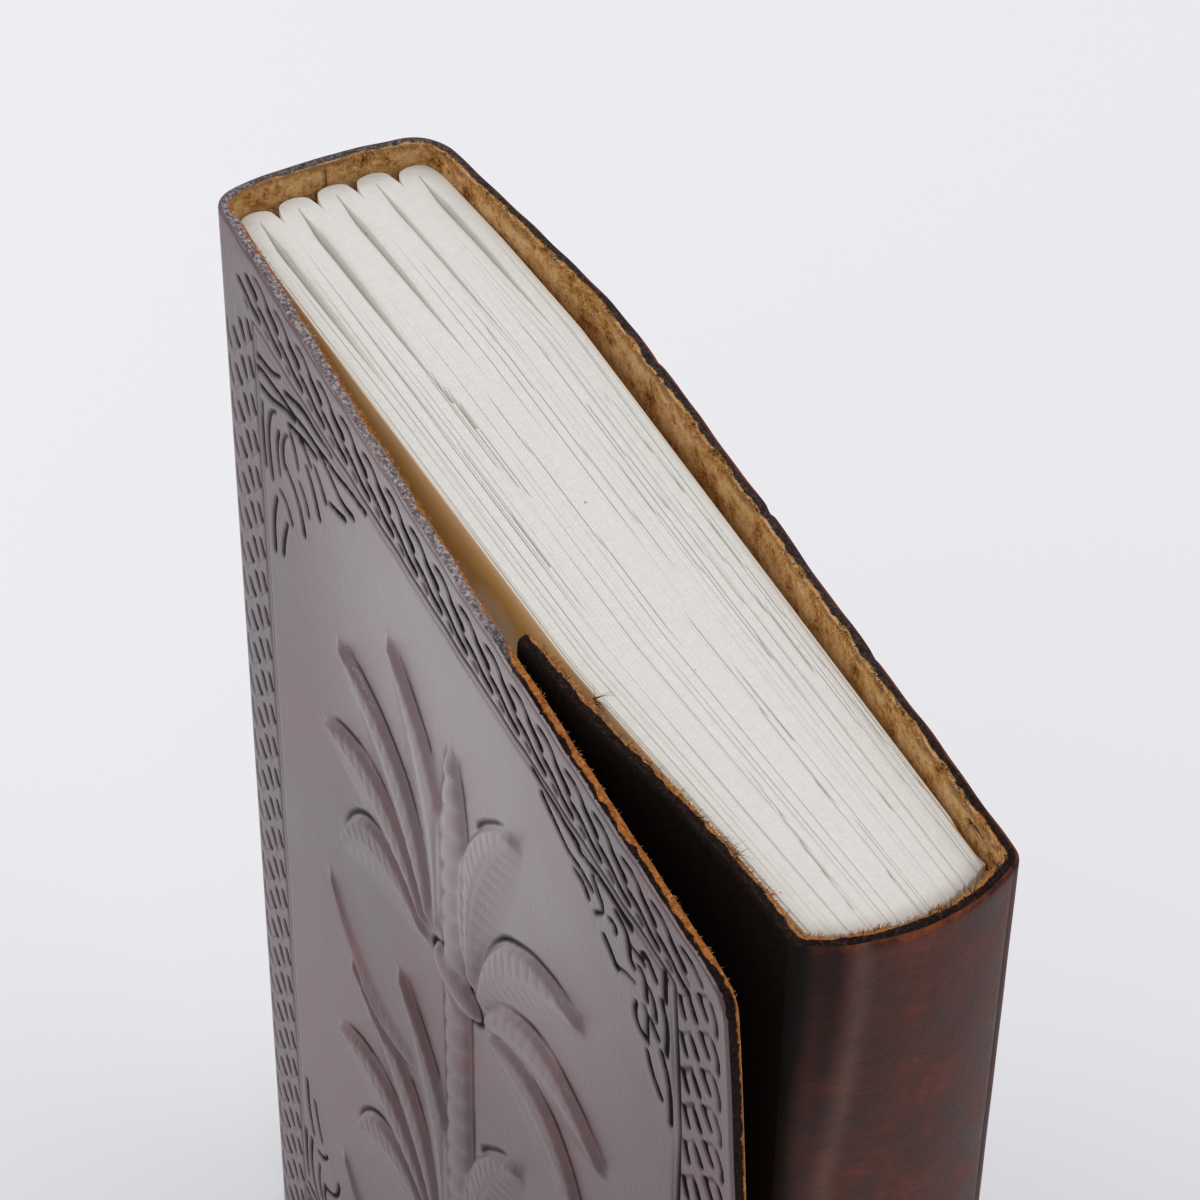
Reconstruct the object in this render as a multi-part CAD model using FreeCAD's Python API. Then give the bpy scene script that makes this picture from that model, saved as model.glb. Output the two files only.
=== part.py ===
import FreeCAD, Part
import math
import os
from FreeCAD import Matrix, Vector

# Wrap-around leather notebook, standing on its tail edge.
# One hide makes the front cover, spine, back cover, fore-edge wall and tuck flap.
# Five folded signatures of rag paper are sewn through the spine.
# X runs from the spine to the fore-edge, Y from the front cover to the back, Z upwards.

# ---- driving dimensions, mm: the pages ----
PAGE_HEIGHT = 178.0
PAGE_WIDTH = 125.8         # from the first fold to the corners of the fore-edge
FOLDS_THICKNESS = 24.8     # the signatures at their folds
PAGE_SWELL_AT = 38.0       # the block is thickest at this distance from the spine
PAGE_SWELL = 2.2           # and rises there over its folds by this
PAGE_BEND_AT = 85.0        # the front page turns inwards here
PAGE_BEND = 0.4
PAGE_FORE_DROP = 3.5       # the front page at the fore-edge lies back by this
PAGE_FORE = 20.4           # block thickness at the fore-edge
PAGE_FORE_BULGE = 3.0
PAGE_BEND_RADIUS = 200.0
# ---- the folds and their sewing ----
SIGNATURES = 5
FOLD_DEPTH = 1.3           # notch between two neighbouring folds
FRONT_FOLD_SETBACK = 2.5   # the first fold rounds back to the front page over this
BACK_FOLD_SETBACK = 3.5    # and the last one to the back page
SLIT_MOUTH = 0.5           # opening between signatures at the notch
SLIT_LENGTH = 22.0
HOLLOW_RADIUS = 0.75       # teardrop hollow inside each fold
HOLLOW_INSET = 2.6         # its centre behind the fold
HOLLOW_LENGTH = 13.0
THREAD_RADIUS = 0.4
OUTER_STATION = 34.0       # sewing holes from the hide's tail, and from its head
INNER_STATION = 62.0
THREAD_TAIL = 7.0
THREAD_SIDES = 8
HOLE_STRETCH = 1.6         # a pricked hole is this much taller than wide
# ---- the hide, cut and folded round the pages ----
LEATHER = 1.8              # thickness of the hide
COVER_OVERHANG = 3.0       # hide beyond the pages at head and tail
PAGE_REST = 0.1            # front page behind the inner face at the spine corner
SPINE_ROOM = 3.5           # leather and room on both sides of the folds
SPINE_BULGE = 0.7          # swell of the spine over the folds
SPINE_FRONT_RADIUS = 4.2
SPINE_BACK_RADIUS = 6.0
SPINE_BACK_INSET = 0.8     # the back corner of the spine lies in by this
SPINE_SWELL_RADIUS = 80.0
BACK_SWELL_BEYOND = 2.0    # the back cover's swell lies beyond the pages' by this
BACK_SWELL_ROOM = 1.9      # and its bend stands off theirs by this
BACK_SWELL_RADIUS = 160.0
FORE_SPACE = 5.2           # length of the back cover beyond the width of the pages
FORE_ROOM = 5.5            # leather and room on both sides of the pages' fore-edge
FORE_BACK_RADIUS = 2.6     # folds of the fore-edge wall
FORE_FRONT_RADIUS = 2.4
FORE_BULGE = 6.6           # tangent point of the rounded wall beyond the folds
FORE_RADIUS = 24.0
FLAP_FLAT = 15.5           # flap stretch that lies on the pages
FLAP_SETTLE = 0.25         # and comes forward over that stretch by this
FLAP_REACH = 49.6          # flap from its fold to its tip
FLAP_END = 12.6            # last stretch of the flap, before its tip
FLAP_END_RISE = 0.7
FLAP_BEND_RADIUS = 60.0
FRONT_OVERHANG = 3.0       # front cover longer than the back cover by this
FRONT_LEAN = math.radians(3.0)   # how far the closed cover stands off the pages
FREE_CORNER = 3.0          # rounding of the front cover's two free corners
# ---- embossing of the front cover ----
BORDER_EDGE = 9.7          # frame line from the panel's edges
BORDER_HINGE = 12.6        # frame line from the spine corner
LINE_WIDTH = 0.7
PLAIT_PITCH = 6.1          # one repeat of the plaited border
PLAIT_INSET = 5.0          # its middle line from the frame line, outwards
PLAIT_CORNER = 7.0         # it stops this far before the crossing of two middle lines
PLAIT_SPREAD = 1.4         # the rows of dashes on either side of the plait's middle
PLAIT_SLANT = 1.0          # and their stagger along it
DASH_WIDTH = 1.0
DASH_LONG = 4.4
DASH_SHORT = 3.0
DASH_ANGLE = math.radians(28)
CORNER_LEG = 32.0          # legs of the knotwork triangle in each corner
KNOT_PITCH = 6.0           # the holes between its strands lie on this grid
KNOT_MARGIN = 4.2          # first hole from the frame line
KNOT_LONG = 2.55           # half diagonals of one hole, turned by a quarter from hole to hole
KNOT_SHORT = 1.35
KNOT_FADE = 0.6            # share by which the holes shrink towards the tips
FAN_BLADES = 4             # one leaf fan of the central relief
FAN_START = 72.0           # first blade's angle, degrees above level
FAN_STEP = 30.0
FAN_NODE = 3.0             # the blades start at this distance from their node
FAN_LENGTH = 40.0
FAN_SHORTER = 4.0
FAN_WIDTH = 8.5
FAN_CURL = 4.0
STEM_INSET = 26.0          # ends of the twisted stem from the tail and from the head
STEM_CLEAR = 4.5
STRAND_PITCH = 4.6         # strands of the twisted stem
STRAND_LENGTH = 6.6
STRAND_WIDTH = 2.4
STRAND_ANGLE = math.radians(38)
LOWER_NODE = 62.0          # the lower pair of fans, from the tail
UPPER_NODE = 66.0          # the upper pair, from the head
LOWER_TENDRIL = 36.0       # the lower pair of tendrils, from the tail
TENDRIL_CLEAR = 6.5
TENDRIL_LENGTH = 34.0
TENDRIL_WIDTH = 2.6
TENDRIL_RISE = 12.0
TENDRIL_CURL = 7.0
EMBOSS_DEPTH = 0.45
RELIEF_HEIGHT = 0.45
# ---- clearances ----
BACK_GAP = 0.25            # pages to the inside of the back cover, at the fore-edge
HINGE_GAP = 0.3            # between the two sides of the front fold
TUCK_GAP = 0.3             # flap tip to the inside of the front cover
PAGE_GAP = 0.5             # folds to the inside of the spine
HOLE_GAP = 0.25            # beside the thread in its holes
STITCH_GAP = 0.05          # stitch to the outside of the spine
SECTION_START = 5.0        # section lines through the spine leather start this far outside it
# ---- sizes that follow from those ----
COVER_HEIGHT = PAGE_HEIGHT + 2 * COVER_OVERHANG
BACK_LENGTH = PAGE_WIDTH + FORE_SPACE
FRONT_LENGTH = BACK_LENGTH + FRONT_OVERHANG
SPINE_WIDTH = FOLDS_THICKNESS + SPINE_ROOM
PAGE_FRONT = LEATHER + PAGE_REST
PAGE_BACK = PAGE_FRONT + PAGE_FORE_DROP + PAGE_FORE
FORE_THICKNESS = PAGE_FORE + FORE_ROOM


def turn(a, b):
    """Signed angle from direction a to direction b in the XY plane."""
    return math.atan2(a.x * b.y - a.y * b.x, a.dot(b))


def rounded_path(corners):
    """Lines and tangent arcs through corner points given as (point, radius)."""
    edges = []
    start = corners[0][0]
    for i in range(1, len(corners) - 1):
        corner, radius = corners[i]
        into = (corner - corners[i - 1][0]).normalize()
        out = (corners[i + 1][0] - corner).normalize()
        angle = turn(into, out)
        reach = radius * math.tan(abs(angle) / 2)
        first = corner - into * reach
        last = corner + out * reach
        side = (out - into).normalize()
        middle = corner + side * (radius / math.cos(angle / 2) - radius)
        edges.append(Part.LineSegment(start, first).toShape())
        edges.append(Part.Arc(first, middle, last).toShape())
        start = last
    edges.append(Part.LineSegment(start, corners[-1][0]).toShape())
    return edges


def inner_corners(corners, distance):
    """The same corners moved to the right of the path by a distance, with their radii."""
    moved = []
    last = len(corners) - 1
    for i, (corner, radius) in enumerate(corners):
        into = (corner - corners[i - 1][0]) if i > 0 else (corners[1][0] - corner)
        out = (corners[i + 1][0] - corner) if i < last else Vector(into)
        into.normalize()
        out.normalize()
        angle = turn(into, out)
        side = Vector(into.y + out.y, -into.x - out.x, 0).normalize()
        point = corner + side * (distance / math.cos(angle / 2))
        moved.append((point, radius + math.copysign(distance, angle)))
    return moved


def prism(face, bottom, top):
    """A flat face in the XY plane, run from one height to another."""
    face.translate(Vector(0, 0, bottom))
    return face.extrude(Vector(0, 0, top - bottom))


def polygon(points):
    """Flat face through corner points."""
    return Part.Face(Part.makePolygon(points + [points[0]]))


# ---- the hide ----
def front_direction():
    """Direction of the closed front cover, away from the spine."""
    return Vector(math.cos(FRONT_LEAN), -math.sin(FRONT_LEAN), 0)


def front_normal():
    """Outward normal of the closed front cover."""
    return Vector(-math.sin(FRONT_LEAN), -math.cos(FRONT_LEAN), 0)


def flap_tip():
    """Outer end of the tuck flap, just clear of the inside of the front cover."""
    along = (BACK_LENGTH - FLAP_REACH) / math.cos(FRONT_LEAN)
    inside = front_direction() * along - front_normal() * LEATHER
    return inside + Vector(0, TUCK_GAP, 0)


def hide_corners():
    """Corners of the hide's outer face, from the free front edge round to the flap's tip."""
    swell = PAGE_FRONT + FOLDS_THICKNESS + PAGE_SWELL + LEATHER + BACK_SWELL_ROOM
    fold_back = Vector(BACK_LENGTH, PAGE_BACK + LEATHER + BACK_GAP, 0)
    fold_front = fold_back - Vector(0, FORE_THICKNESS, 0)
    tip = flap_tip()
    return [
        (front_direction() * FRONT_LENGTH, 0),
        (Vector(0, 0, 0), SPINE_FRONT_RADIUS),
        (Vector(-SPINE_BULGE, SPINE_WIDTH / 2, 0), SPINE_SWELL_RADIUS),
        (Vector(SPINE_BACK_INSET, SPINE_WIDTH, 0), SPINE_BACK_RADIUS),
        (Vector(PAGE_SWELL_AT + BACK_SWELL_BEYOND, swell, 0), BACK_SWELL_RADIUS),
        (fold_back, FORE_BACK_RADIUS),
        ((fold_front + fold_back) * 0.5 + Vector(FORE_BULGE, 0, 0), FORE_RADIUS),
        (fold_front, FORE_FRONT_RADIUS),
        (fold_front - Vector(FLAP_FLAT, FLAP_SETTLE, 0), FLAP_BEND_RADIUS),
        (tip + Vector(FLAP_END, FLAP_END_RISE, 0), FLAP_BEND_RADIUS),
        (tip, 0),
    ]


def hide_face():
    """Plan section of the whole hide."""
    outer = hide_corners()
    inner = inner_corners(outer, LEATHER)
    edges = rounded_path(outer) + rounded_path(inner)
    edges.append(Part.LineSegment(outer[0][0], inner[0][0]).toShape())
    edges.append(Part.LineSegment(outer[-1][0], inner[-1][0]).toShape())
    return Part.Face(Part.Wire(Part.__sortEdges__(edges)))


def fold_inward():
    """Direction across the leather at the middle of the front fold, towards the pages."""
    spine = Vector(-SPINE_BULGE, SPINE_WIDTH / 2, 0).normalize()
    return (front_direction() + spine).normalize()


def hinge_point():
    """Where the front fold turns: half a gap outside the middle of the spine corner's round."""
    half = abs(turn(fold_inward(), front_direction()))
    reach = SPINE_FRONT_RADIUS / math.sin(half) - SPINE_FRONT_RADIUS
    return fold_inward() * (reach - HINGE_GAP / 2)


def hinge_slot():
    """Thin gap across the leather at the front fold."""
    inward = fold_inward()
    across = Vector(-inward.y, inward.x, 0) * (HINGE_GAP / 2)
    start = hinge_point() - inward * LEATHER
    end = hinge_point() + inward * (LEATHER * 2)
    slot = polygon([start - across, end - across, end + across, start + across])
    return prism(slot, 0, COVER_HEIGHT)


def leather_at(face, y):
    """Outer and inner x of the spine leather at one place across the spine."""
    line = Part.makeLine(Vector(-SECTION_START, y, 0), Vector(PAGE_SWELL_AT, y, 0))
    box = face.common(line).BoundBox
    return box.XMin, box.XMax


# ---- embossing of the front cover, drawn flat: x from the spine corner, y upwards ----
def stroke(middle, length, width, angle):
    """Four-sided stroke of the embossing."""
    along = Vector(math.cos(angle), math.sin(angle), 0) * (length / 2)
    across = Vector(-math.sin(angle), math.cos(angle), 0) * (width / 2)
    return polygon([middle - along - across, middle + along - across,
                    middle + along + across, middle - along + across])


def plait(start, end):
    """Plaited band from one point to another: in each repeat a slanting row of dashes."""
    run = end - start
    along = Vector(run).normalize()
    across = Vector(-along.y, along.x, 0)
    heading = math.atan2(along.y, along.x)
    count = int(run.Length / PLAIT_PITCH)
    first = (run.Length - (count - 1) * PLAIT_PITCH) / 2
    dashes = []
    for i in range(count):
        for row, length in ((-1, DASH_LONG), (1, DASH_SHORT)):
            shift = first + i * PLAIT_PITCH + row * PLAIT_SLANT
            centre = start + along * shift + across * (row * PLAIT_SPREAD)
            dashes.append(stroke(centre, length, DASH_WIDTH, heading - DASH_ANGLE))
    return dashes


def frame():
    """Straight groove inside the plaited borders."""
    left, right = BORDER_HINGE, FRONT_LENGTH - BORDER_EDGE
    low, high = BORDER_EDGE, COVER_HEIGHT - BORDER_EDGE
    outer = Part.makePlane(right - left, high - low, Vector(left, low, 0))
    inner = Part.makePlane(right - left - 2 * LINE_WIDTH, high - low - 2 * LINE_WIDTH,
                           Vector(left + LINE_WIDTH, low + LINE_WIDTH, 0))
    return outer.cut(inner).Faces[0]


def knotwork(corner, right, up):
    """Holes between the crossing strands of a corner triangle, shrinking towards its tips."""
    holes = []
    rows = int(CORNER_LEG / KNOT_PITCH)
    for i in range(rows):
        for j in range(rows - i):
            size = 1 - KNOT_FADE * (i * i + j * j) / (rows * rows)
            x = corner.x + right * (KNOT_MARGIN + i * KNOT_PITCH)
            y = corner.y + up * (KNOT_MARGIN + j * KNOT_PITCH)
            upright_hole = (i + j) % 2
            tall = size * (KNOT_LONG if upright_hole else KNOT_SHORT)
            wide = size * (KNOT_SHORT if upright_hole else KNOT_LONG)
            holes.append(polygon([Vector(x - wide, y, 0), Vector(x, y - tall, 0),
                                  Vector(x + wide, y, 0), Vector(x, y + tall, 0)]))
    return holes


def leaf(x, y, length, width, angle, curl):
    """Pointed blade between two arcs; curl bends it sideways into a sickle."""
    along = Vector(math.cos(angle), math.sin(angle), 0)
    across = Vector(-along.y, along.x, 0)
    root = Vector(x, y, 0)
    tip = root + along * length
    middle = root + along * (length / 2)
    left = Part.Arc(root, middle + across * (curl + width / 2), tip).toShape()
    right = Part.Arc(root, middle + across * (curl - width / 2), tip).toShape()
    return Part.Face(Part.Wire([left, right]))


def spray(x, y, side):
    """Fan of ribbed blades from one node of the stem, to one side of it."""
    blades = []
    for i in range(FAN_BLADES):
        angle = math.radians(FAN_START - i * FAN_STEP)
        heading = angle if side > 0 else math.pi - angle
        length = FAN_LENGTH - i * FAN_SHORTER
        gap = FAN_NODE * math.cos(heading), FAN_NODE * math.sin(heading)
        blades.append(leaf(x + gap[0], y + gap[1], length, FAN_WIDTH, heading, side * FAN_CURL))
    return blades


def stem(x, bottom, top):
    """Twisted stem: a stack of slanting strands."""
    count = int((top - bottom) / STRAND_PITCH)
    places = [Vector(x, bottom + (i + 0.5) * STRAND_PITCH, 0) for i in range(count)]
    return [stroke(place, STRAND_LENGTH, STRAND_WIDTH, STRAND_ANGLE) for place in places]


def motif():
    """Central relief: a twisted stem with two pairs of leaf fans and two pairs of tendrils."""
    middle = (BORDER_HINGE + FRONT_LENGTH - BORDER_EDGE) / 2
    shapes = stem(middle, STEM_INSET, COVER_HEIGHT - STEM_INSET)
    for side in (-1, 1):
        shapes += spray(middle + side * STEM_CLEAR, COVER_HEIGHT - UPPER_NODE, side)
        shapes += spray(middle + side * STEM_CLEAR, LOWER_NODE, side)
        for height in (LOWER_TENDRIL, COVER_HEIGHT / 2):
            rise = math.radians(TENDRIL_RISE)
            heading = rise if side > 0 else math.pi - rise
            shapes.append(leaf(middle + side * TENDRIL_CLEAR, height, TENDRIL_LENGTH,
                               TENDRIL_WIDTH, heading, -side * TENDRIL_CURL))
    return shapes


def emboss_holes():
    """Everything pressed into the front cover, as flat faces."""
    near, far = BORDER_HINGE - PLAIT_INSET, FRONT_LENGTH - BORDER_EDGE + PLAIT_INSET
    low, high = BORDER_EDGE - PLAIT_INSET, COVER_HEIGHT - BORDER_EDGE + PLAIT_INSET
    shapes = [frame()]
    shapes += plait(Vector(near + PLAIT_CORNER, high, 0), Vector(far - PLAIT_CORNER, high, 0))
    shapes += plait(Vector(far - PLAIT_CORNER, low, 0), Vector(near + PLAIT_CORNER, low, 0))
    shapes += plait(Vector(far, high - PLAIT_CORNER, 0), Vector(far, low + PLAIT_CORNER, 0))
    shapes += plait(Vector(near, low + PLAIT_CORNER, 0), Vector(near, high - PLAIT_CORNER, 0))
    inner_left = BORDER_HINGE + LINE_WIDTH
    inner_right = FRONT_LENGTH - BORDER_EDGE - LINE_WIDTH
    inner_low = BORDER_EDGE + LINE_WIDTH
    inner_high = COVER_HEIGHT - BORDER_EDGE - LINE_WIDTH
    for x, right in ((inner_left, 1), (inner_right, -1)):
        for y, up in ((inner_low, 1), (inner_high, -1)):
            shapes += knotwork(Vector(x, y, 0), right, up)
    return shapes


def upright(shape):
    """Stand a flat drawing up on the outer face of the closed front cover."""
    along, normal = front_direction(), front_normal()
    shape.transformShape(Matrix(along.x, 0, normal.x, 0,
                                along.y, 0, normal.y, 0,
                                0, 1, 0, 0,
                                0, 0, 0, 1))
    return shape


def rounded_corners(cover):
    """Round the two free corners of the front cover."""
    size = FREE_CORNER
    start = FRONT_LENGTH - size
    for centre, low in ((size, 0), (COVER_HEIGHT - size, COVER_HEIGHT - size)):
        square = Part.makePlane(size, size, Vector(start, low, 0))
        disc = Part.Face(Part.Wire(Part.makeCircle(size, Vector(start, centre, 0))))
        waste = prism(square.cut(disc).Faces[0], -2 * LEATHER, LEATHER)
        cover = cover.cut(upright(waste))
    return cover


def front_cover(blank):
    """Front cover with its plaited border, corner knotwork and central relief."""
    cover = rounded_corners(blank)
    holes = [prism(face, -EMBOSS_DEPTH, LEATHER) for face in emboss_holes()]
    cover = cover.cut(upright(Part.makeCompound(holes)))
    raised = [prism(face, -EMBOSS_DEPTH, RELIEF_HEIGHT) for face in motif()]
    return cover.fuse(upright(Part.makeCompound(raised)))


# ---- pages and sewing ----
def stations():
    """Heights of the sewing holes, from the tail up."""
    return [OUTER_STATION, INNER_STATION,
            COVER_HEIGHT - INNER_STATION, COVER_HEIGHT - OUTER_STATION]


def signature_middle(index):
    """Distance across the spine of the middle of one signature."""
    return PAGE_FRONT + (index + 0.5) * FOLDS_THICKNESS / SIGNATURES


def fold_tip(face, index):
    """x of one signature's fold, just inside the spine leather."""
    y = signature_middle(index)
    half = FOLDS_THICKNESS / SIGNATURES / 2
    inside = max(leather_at(face, y + step)[1] for step in (-half / 2, 0, half / 2))
    return inside + PAGE_GAP


def notches(tips):
    """Points where neighbouring signatures part, and the two outer corners of the folds."""
    step = FOLDS_THICKNESS / SIGNATURES
    places = [tips[0] + FRONT_FOLD_SETBACK]
    for i in range(1, SIGNATURES):
        places.append((tips[i - 1] + tips[i]) / 2 + FOLD_DEPTH)
    places.append(tips[-1] + BACK_FOLD_SETBACK)
    return [Vector(x, PAGE_FRONT + i * step, 0) for i, x in enumerate(places)]


def hollow(x, y):
    """Teardrop section of the space inside a fold."""
    round_end = Part.Arc(Vector(x, y - HOLLOW_RADIUS, 0), Vector(x - HOLLOW_RADIUS, y, 0),
                         Vector(x, y + HOLLOW_RADIUS, 0)).toShape()
    point = Vector(x + HOLLOW_LENGTH, y, 0)
    sides = Part.makePolygon([Vector(x, y + HOLLOW_RADIUS, 0), point,
                              Vector(x, y - HOLLOW_RADIUS, 0)])
    return Part.Face(Part.Wire([round_end] + sides.Edges))


def page_outline(tips):
    """Plan section of the block: five round folds, flat sides and a rounded fore-edge."""
    corners = notches(tips)
    edges = []
    for i, tip in enumerate(tips):
        edges.append(Part.Arc(corners[i], Vector(tip, signature_middle(i), 0),
                              corners[i + 1]).toShape())
    far = min(tips) + PAGE_WIDTH
    front_fore = Vector(far, PAGE_BACK - PAGE_FORE, 0)
    back_fore = Vector(far, PAGE_BACK, 0)
    swell = Vector(PAGE_SWELL_AT, PAGE_FRONT + FOLDS_THICKNESS + PAGE_SWELL, 0)
    edges += rounded_path([(corners[-1], 0), (swell, PAGE_BEND_RADIUS), (back_fore, 0)])
    crown = (front_fore + back_fore) * 0.5 + Vector(PAGE_FORE_BULGE, 0, 0)
    edges.append(Part.Arc(back_fore, crown, front_fore).toShape())
    bend = Vector(PAGE_BEND_AT, PAGE_FRONT + PAGE_BEND, 0)
    edges += rounded_path([(front_fore, 0), (bend, PAGE_BEND_RADIUS), (corners[0], 0)])
    return Part.Face(Part.Wire(edges))


def thread_hole(x_start, x_end, y, z):
    """Pricked hole for the thread: an upright diamond, along X."""
    wide = THREAD_RADIUS + HOLE_GAP
    tall = wide * HOLE_STRETCH
    corners = [Vector(x_start, y - wide, z), Vector(x_start, y, z - tall),
               Vector(x_start, y + wide, z), Vector(x_start, y, z + tall)]
    return polygon(corners).extrude(Vector(x_end - x_start, 0, 0))


def page_block(tips):
    """The sewn pages as one solid, with slits between signatures and hollows in the folds."""
    tail = COVER_OVERHANG
    head = tail + PAGE_HEIGHT
    block = prism(page_outline(tips), tail, head)
    tools = []
    for corner in notches(tips)[1:-1]:
        half = Vector(0, SLIT_MOUTH / 2, 0)
        mouth = corner - Vector(FOLD_DEPTH, 0, 0)
        wedge = polygon([mouth - half, corner + Vector(SLIT_LENGTH, 0, 0), mouth + half])
        tools.append(prism(wedge, tail, head))
    for i, tip in enumerate(tips):
        y = signature_middle(i)
        tools.append(prism(hollow(tip + HOLLOW_INSET, y), tail, head))
        for z in stations():
            tools.append(thread_hole(tip - FOLD_DEPTH, tip + HOLLOW_INSET, y, z))
    return block.cut(Part.makeCompound(tools))


def signature_thread(face, tip, index):
    """Thread of one signature: out through fold and spine, along, and back in, twice."""
    y = signature_middle(index)
    inside = tip + HOLLOW_INSET
    outside = leather_at(face, y)[0] - THREAD_RADIUS - STITCH_GAP
    z1, z2, z3, z4 = stations()
    route = [(inside, z1 - THREAD_TAIL), (inside, z1), (outside, z1), (outside, z2),
             (inside, z2), (inside, z3), (outside, z3), (outside, z4),
             (inside, z4), (inside, z4 + THREAD_TAIL)]
    path = Part.makePolygon([Vector(x, y, z) for x, z in route])
    around = [2 * math.pi * (i + 0.5) / THREAD_SIDES for i in range(THREAD_SIDES + 1)]
    section = Part.makePolygon([Vector(inside + THREAD_RADIUS * math.cos(a),
                                       y + THREAD_RADIUS * math.sin(a),
                                       z1 - THREAD_TAIL) for a in around])
    mitred = 1
    return path.makePipeShell([section], True, False, mitred)


# ---- assembly ----
def build():
    """All pieces, named, in the notebook's own plan position."""
    face = hide_face()
    tips = [fold_tip(face, i) for i in range(SIGNATURES)]
    hide = prism(face.copy(), 0, COVER_HEIGHT).cut(hinge_slot())
    front, wrap = sorted(hide.Solids, key=lambda solid: solid.CenterOfMass.y)
    for i in range(SIGNATURES):
        outer, inner = leather_at(face, signature_middle(i))
        holes = [thread_hole(outer - LEATHER, inner + PAGE_GAP, signature_middle(i), z)
                 for z in stations()]
        wrap = wrap.cut(Part.makeCompound(holes))
    pieces = {"front_cover": front_cover(front), "cover_wrap": wrap,
              "page_block": page_block(tips)}
    for i, tip in enumerate(tips):
        pieces["signature_thread_%d" % (i + 1)] = signature_thread(face, tip, i)
    return pieces


def export(pieces):
    """Move the middle of the part's foot to the origin and write one file per piece."""
    os.makedirs("parts", exist_ok=True)
    box = Part.makeCompound(list(pieces.values())).optimalBoundingBox(False, False)
    shift = Vector(-box.Center.x, -box.Center.y, -box.ZMin)
    for name, shape in pieces.items():
        shape.translate(shift)
        shape.exportStep("parts/%s.step" % name)
        print(name, "solids", len(shape.Solids), "valid", shape.isValid(),
              "volume", round(shape.Volume, 1))
    hinge = hinge_point() + shift
    print("hinge axis at x %.3f y %.3f mm" % (hinge.x, hinge.y))
    print("size %.2f x %.2f x %.2f mm" % (box.XLength, box.YLength, box.ZLength))


export(build())
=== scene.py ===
import math
import bpy
import numpy as np
from mathutils import Matrix, Vector


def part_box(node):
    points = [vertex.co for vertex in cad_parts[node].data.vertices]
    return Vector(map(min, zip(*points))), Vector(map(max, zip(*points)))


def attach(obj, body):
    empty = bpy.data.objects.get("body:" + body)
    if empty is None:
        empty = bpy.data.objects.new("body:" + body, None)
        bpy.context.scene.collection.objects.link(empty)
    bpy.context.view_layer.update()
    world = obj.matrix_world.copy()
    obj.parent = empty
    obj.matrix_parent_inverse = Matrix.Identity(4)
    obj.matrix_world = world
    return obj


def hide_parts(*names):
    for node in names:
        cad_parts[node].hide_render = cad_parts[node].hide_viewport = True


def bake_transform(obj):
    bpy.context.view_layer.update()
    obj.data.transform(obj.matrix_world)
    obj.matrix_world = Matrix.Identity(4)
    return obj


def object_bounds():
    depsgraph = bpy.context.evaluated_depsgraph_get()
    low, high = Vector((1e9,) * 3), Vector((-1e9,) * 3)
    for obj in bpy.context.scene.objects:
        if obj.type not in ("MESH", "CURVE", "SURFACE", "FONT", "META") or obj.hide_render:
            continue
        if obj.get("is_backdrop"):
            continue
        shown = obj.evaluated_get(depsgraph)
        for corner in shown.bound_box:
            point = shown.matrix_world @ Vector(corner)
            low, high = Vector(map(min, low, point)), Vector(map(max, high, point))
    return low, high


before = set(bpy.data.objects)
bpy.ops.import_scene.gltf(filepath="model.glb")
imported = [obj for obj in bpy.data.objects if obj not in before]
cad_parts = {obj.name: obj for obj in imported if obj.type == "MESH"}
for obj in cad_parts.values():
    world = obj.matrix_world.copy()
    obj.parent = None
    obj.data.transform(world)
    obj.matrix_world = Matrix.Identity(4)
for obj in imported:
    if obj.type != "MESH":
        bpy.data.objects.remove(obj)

cad_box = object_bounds()

# ---- view, floor and light ----
# The notebook stands on its tail on a pale seamless floor, seen from above its fore-edge corner.
# Even daylight comes from everywhere, with a little more of it from the spine side in front.
MM = 0.001
VIEW_AWAY, VIEW_RIGHT, VIEW_DOWN = 476.5, 42.34, 46.96       # from the spine's front corner, mm
FLOOR_HALF = 4.0                 # metres
front_low, front_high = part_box("front_cover")
wrap_low, wrap_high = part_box("cover_wrap")
spine_head = Vector((wrap_low.x + 1.45 * MM, wrap_low.y + 4.61 * MM, wrap_high.z))
azimuth, elevation, roll = math.radians(61.39), math.radians(43.82), math.radians(0.85)
backward = Vector((math.sin(azimuth) * math.cos(elevation),
                   -math.cos(azimuth) * math.cos(elevation), math.sin(elevation)))
level = Vector((math.cos(azimuth), math.sin(azimuth), 0))
upward = backward.cross(level)
sideways = level * math.cos(roll) + upward * math.sin(roll)
upright = upward * math.cos(roll) - level * math.sin(roll)
place = spine_head + (backward * VIEW_AWAY + sideways * VIEW_RIGHT - upright * VIEW_DOWN) * MM


def add_object(name, data):
    """New object in the scene."""
    made = bpy.data.objects.new(name, data)
    bpy.context.collection.objects.link(made)
    return made


def linear(colour):
    """sRGB hex to linear RGBA."""
    parts = [int(colour[i:i + 2], 16) / 255 for i in (1, 3, 5)]
    return [c / 12.92 if c <= 0.04045 else ((c + 0.055) / 1.055) ** 2.4 for c in parts] + [1]


camera = add_object("view", bpy.data.cameras.new("view"))
camera.data.lens = 124.5
camera.data.sensor_width = 36
camera.data.clip_end = 100
camera.matrix_world = Matrix([(sideways[i], upright[i], backward[i], place[i]) for i in range(3)]
                             + [(0, 0, 0, 1)])
bpy.context.scene.camera = camera

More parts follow.
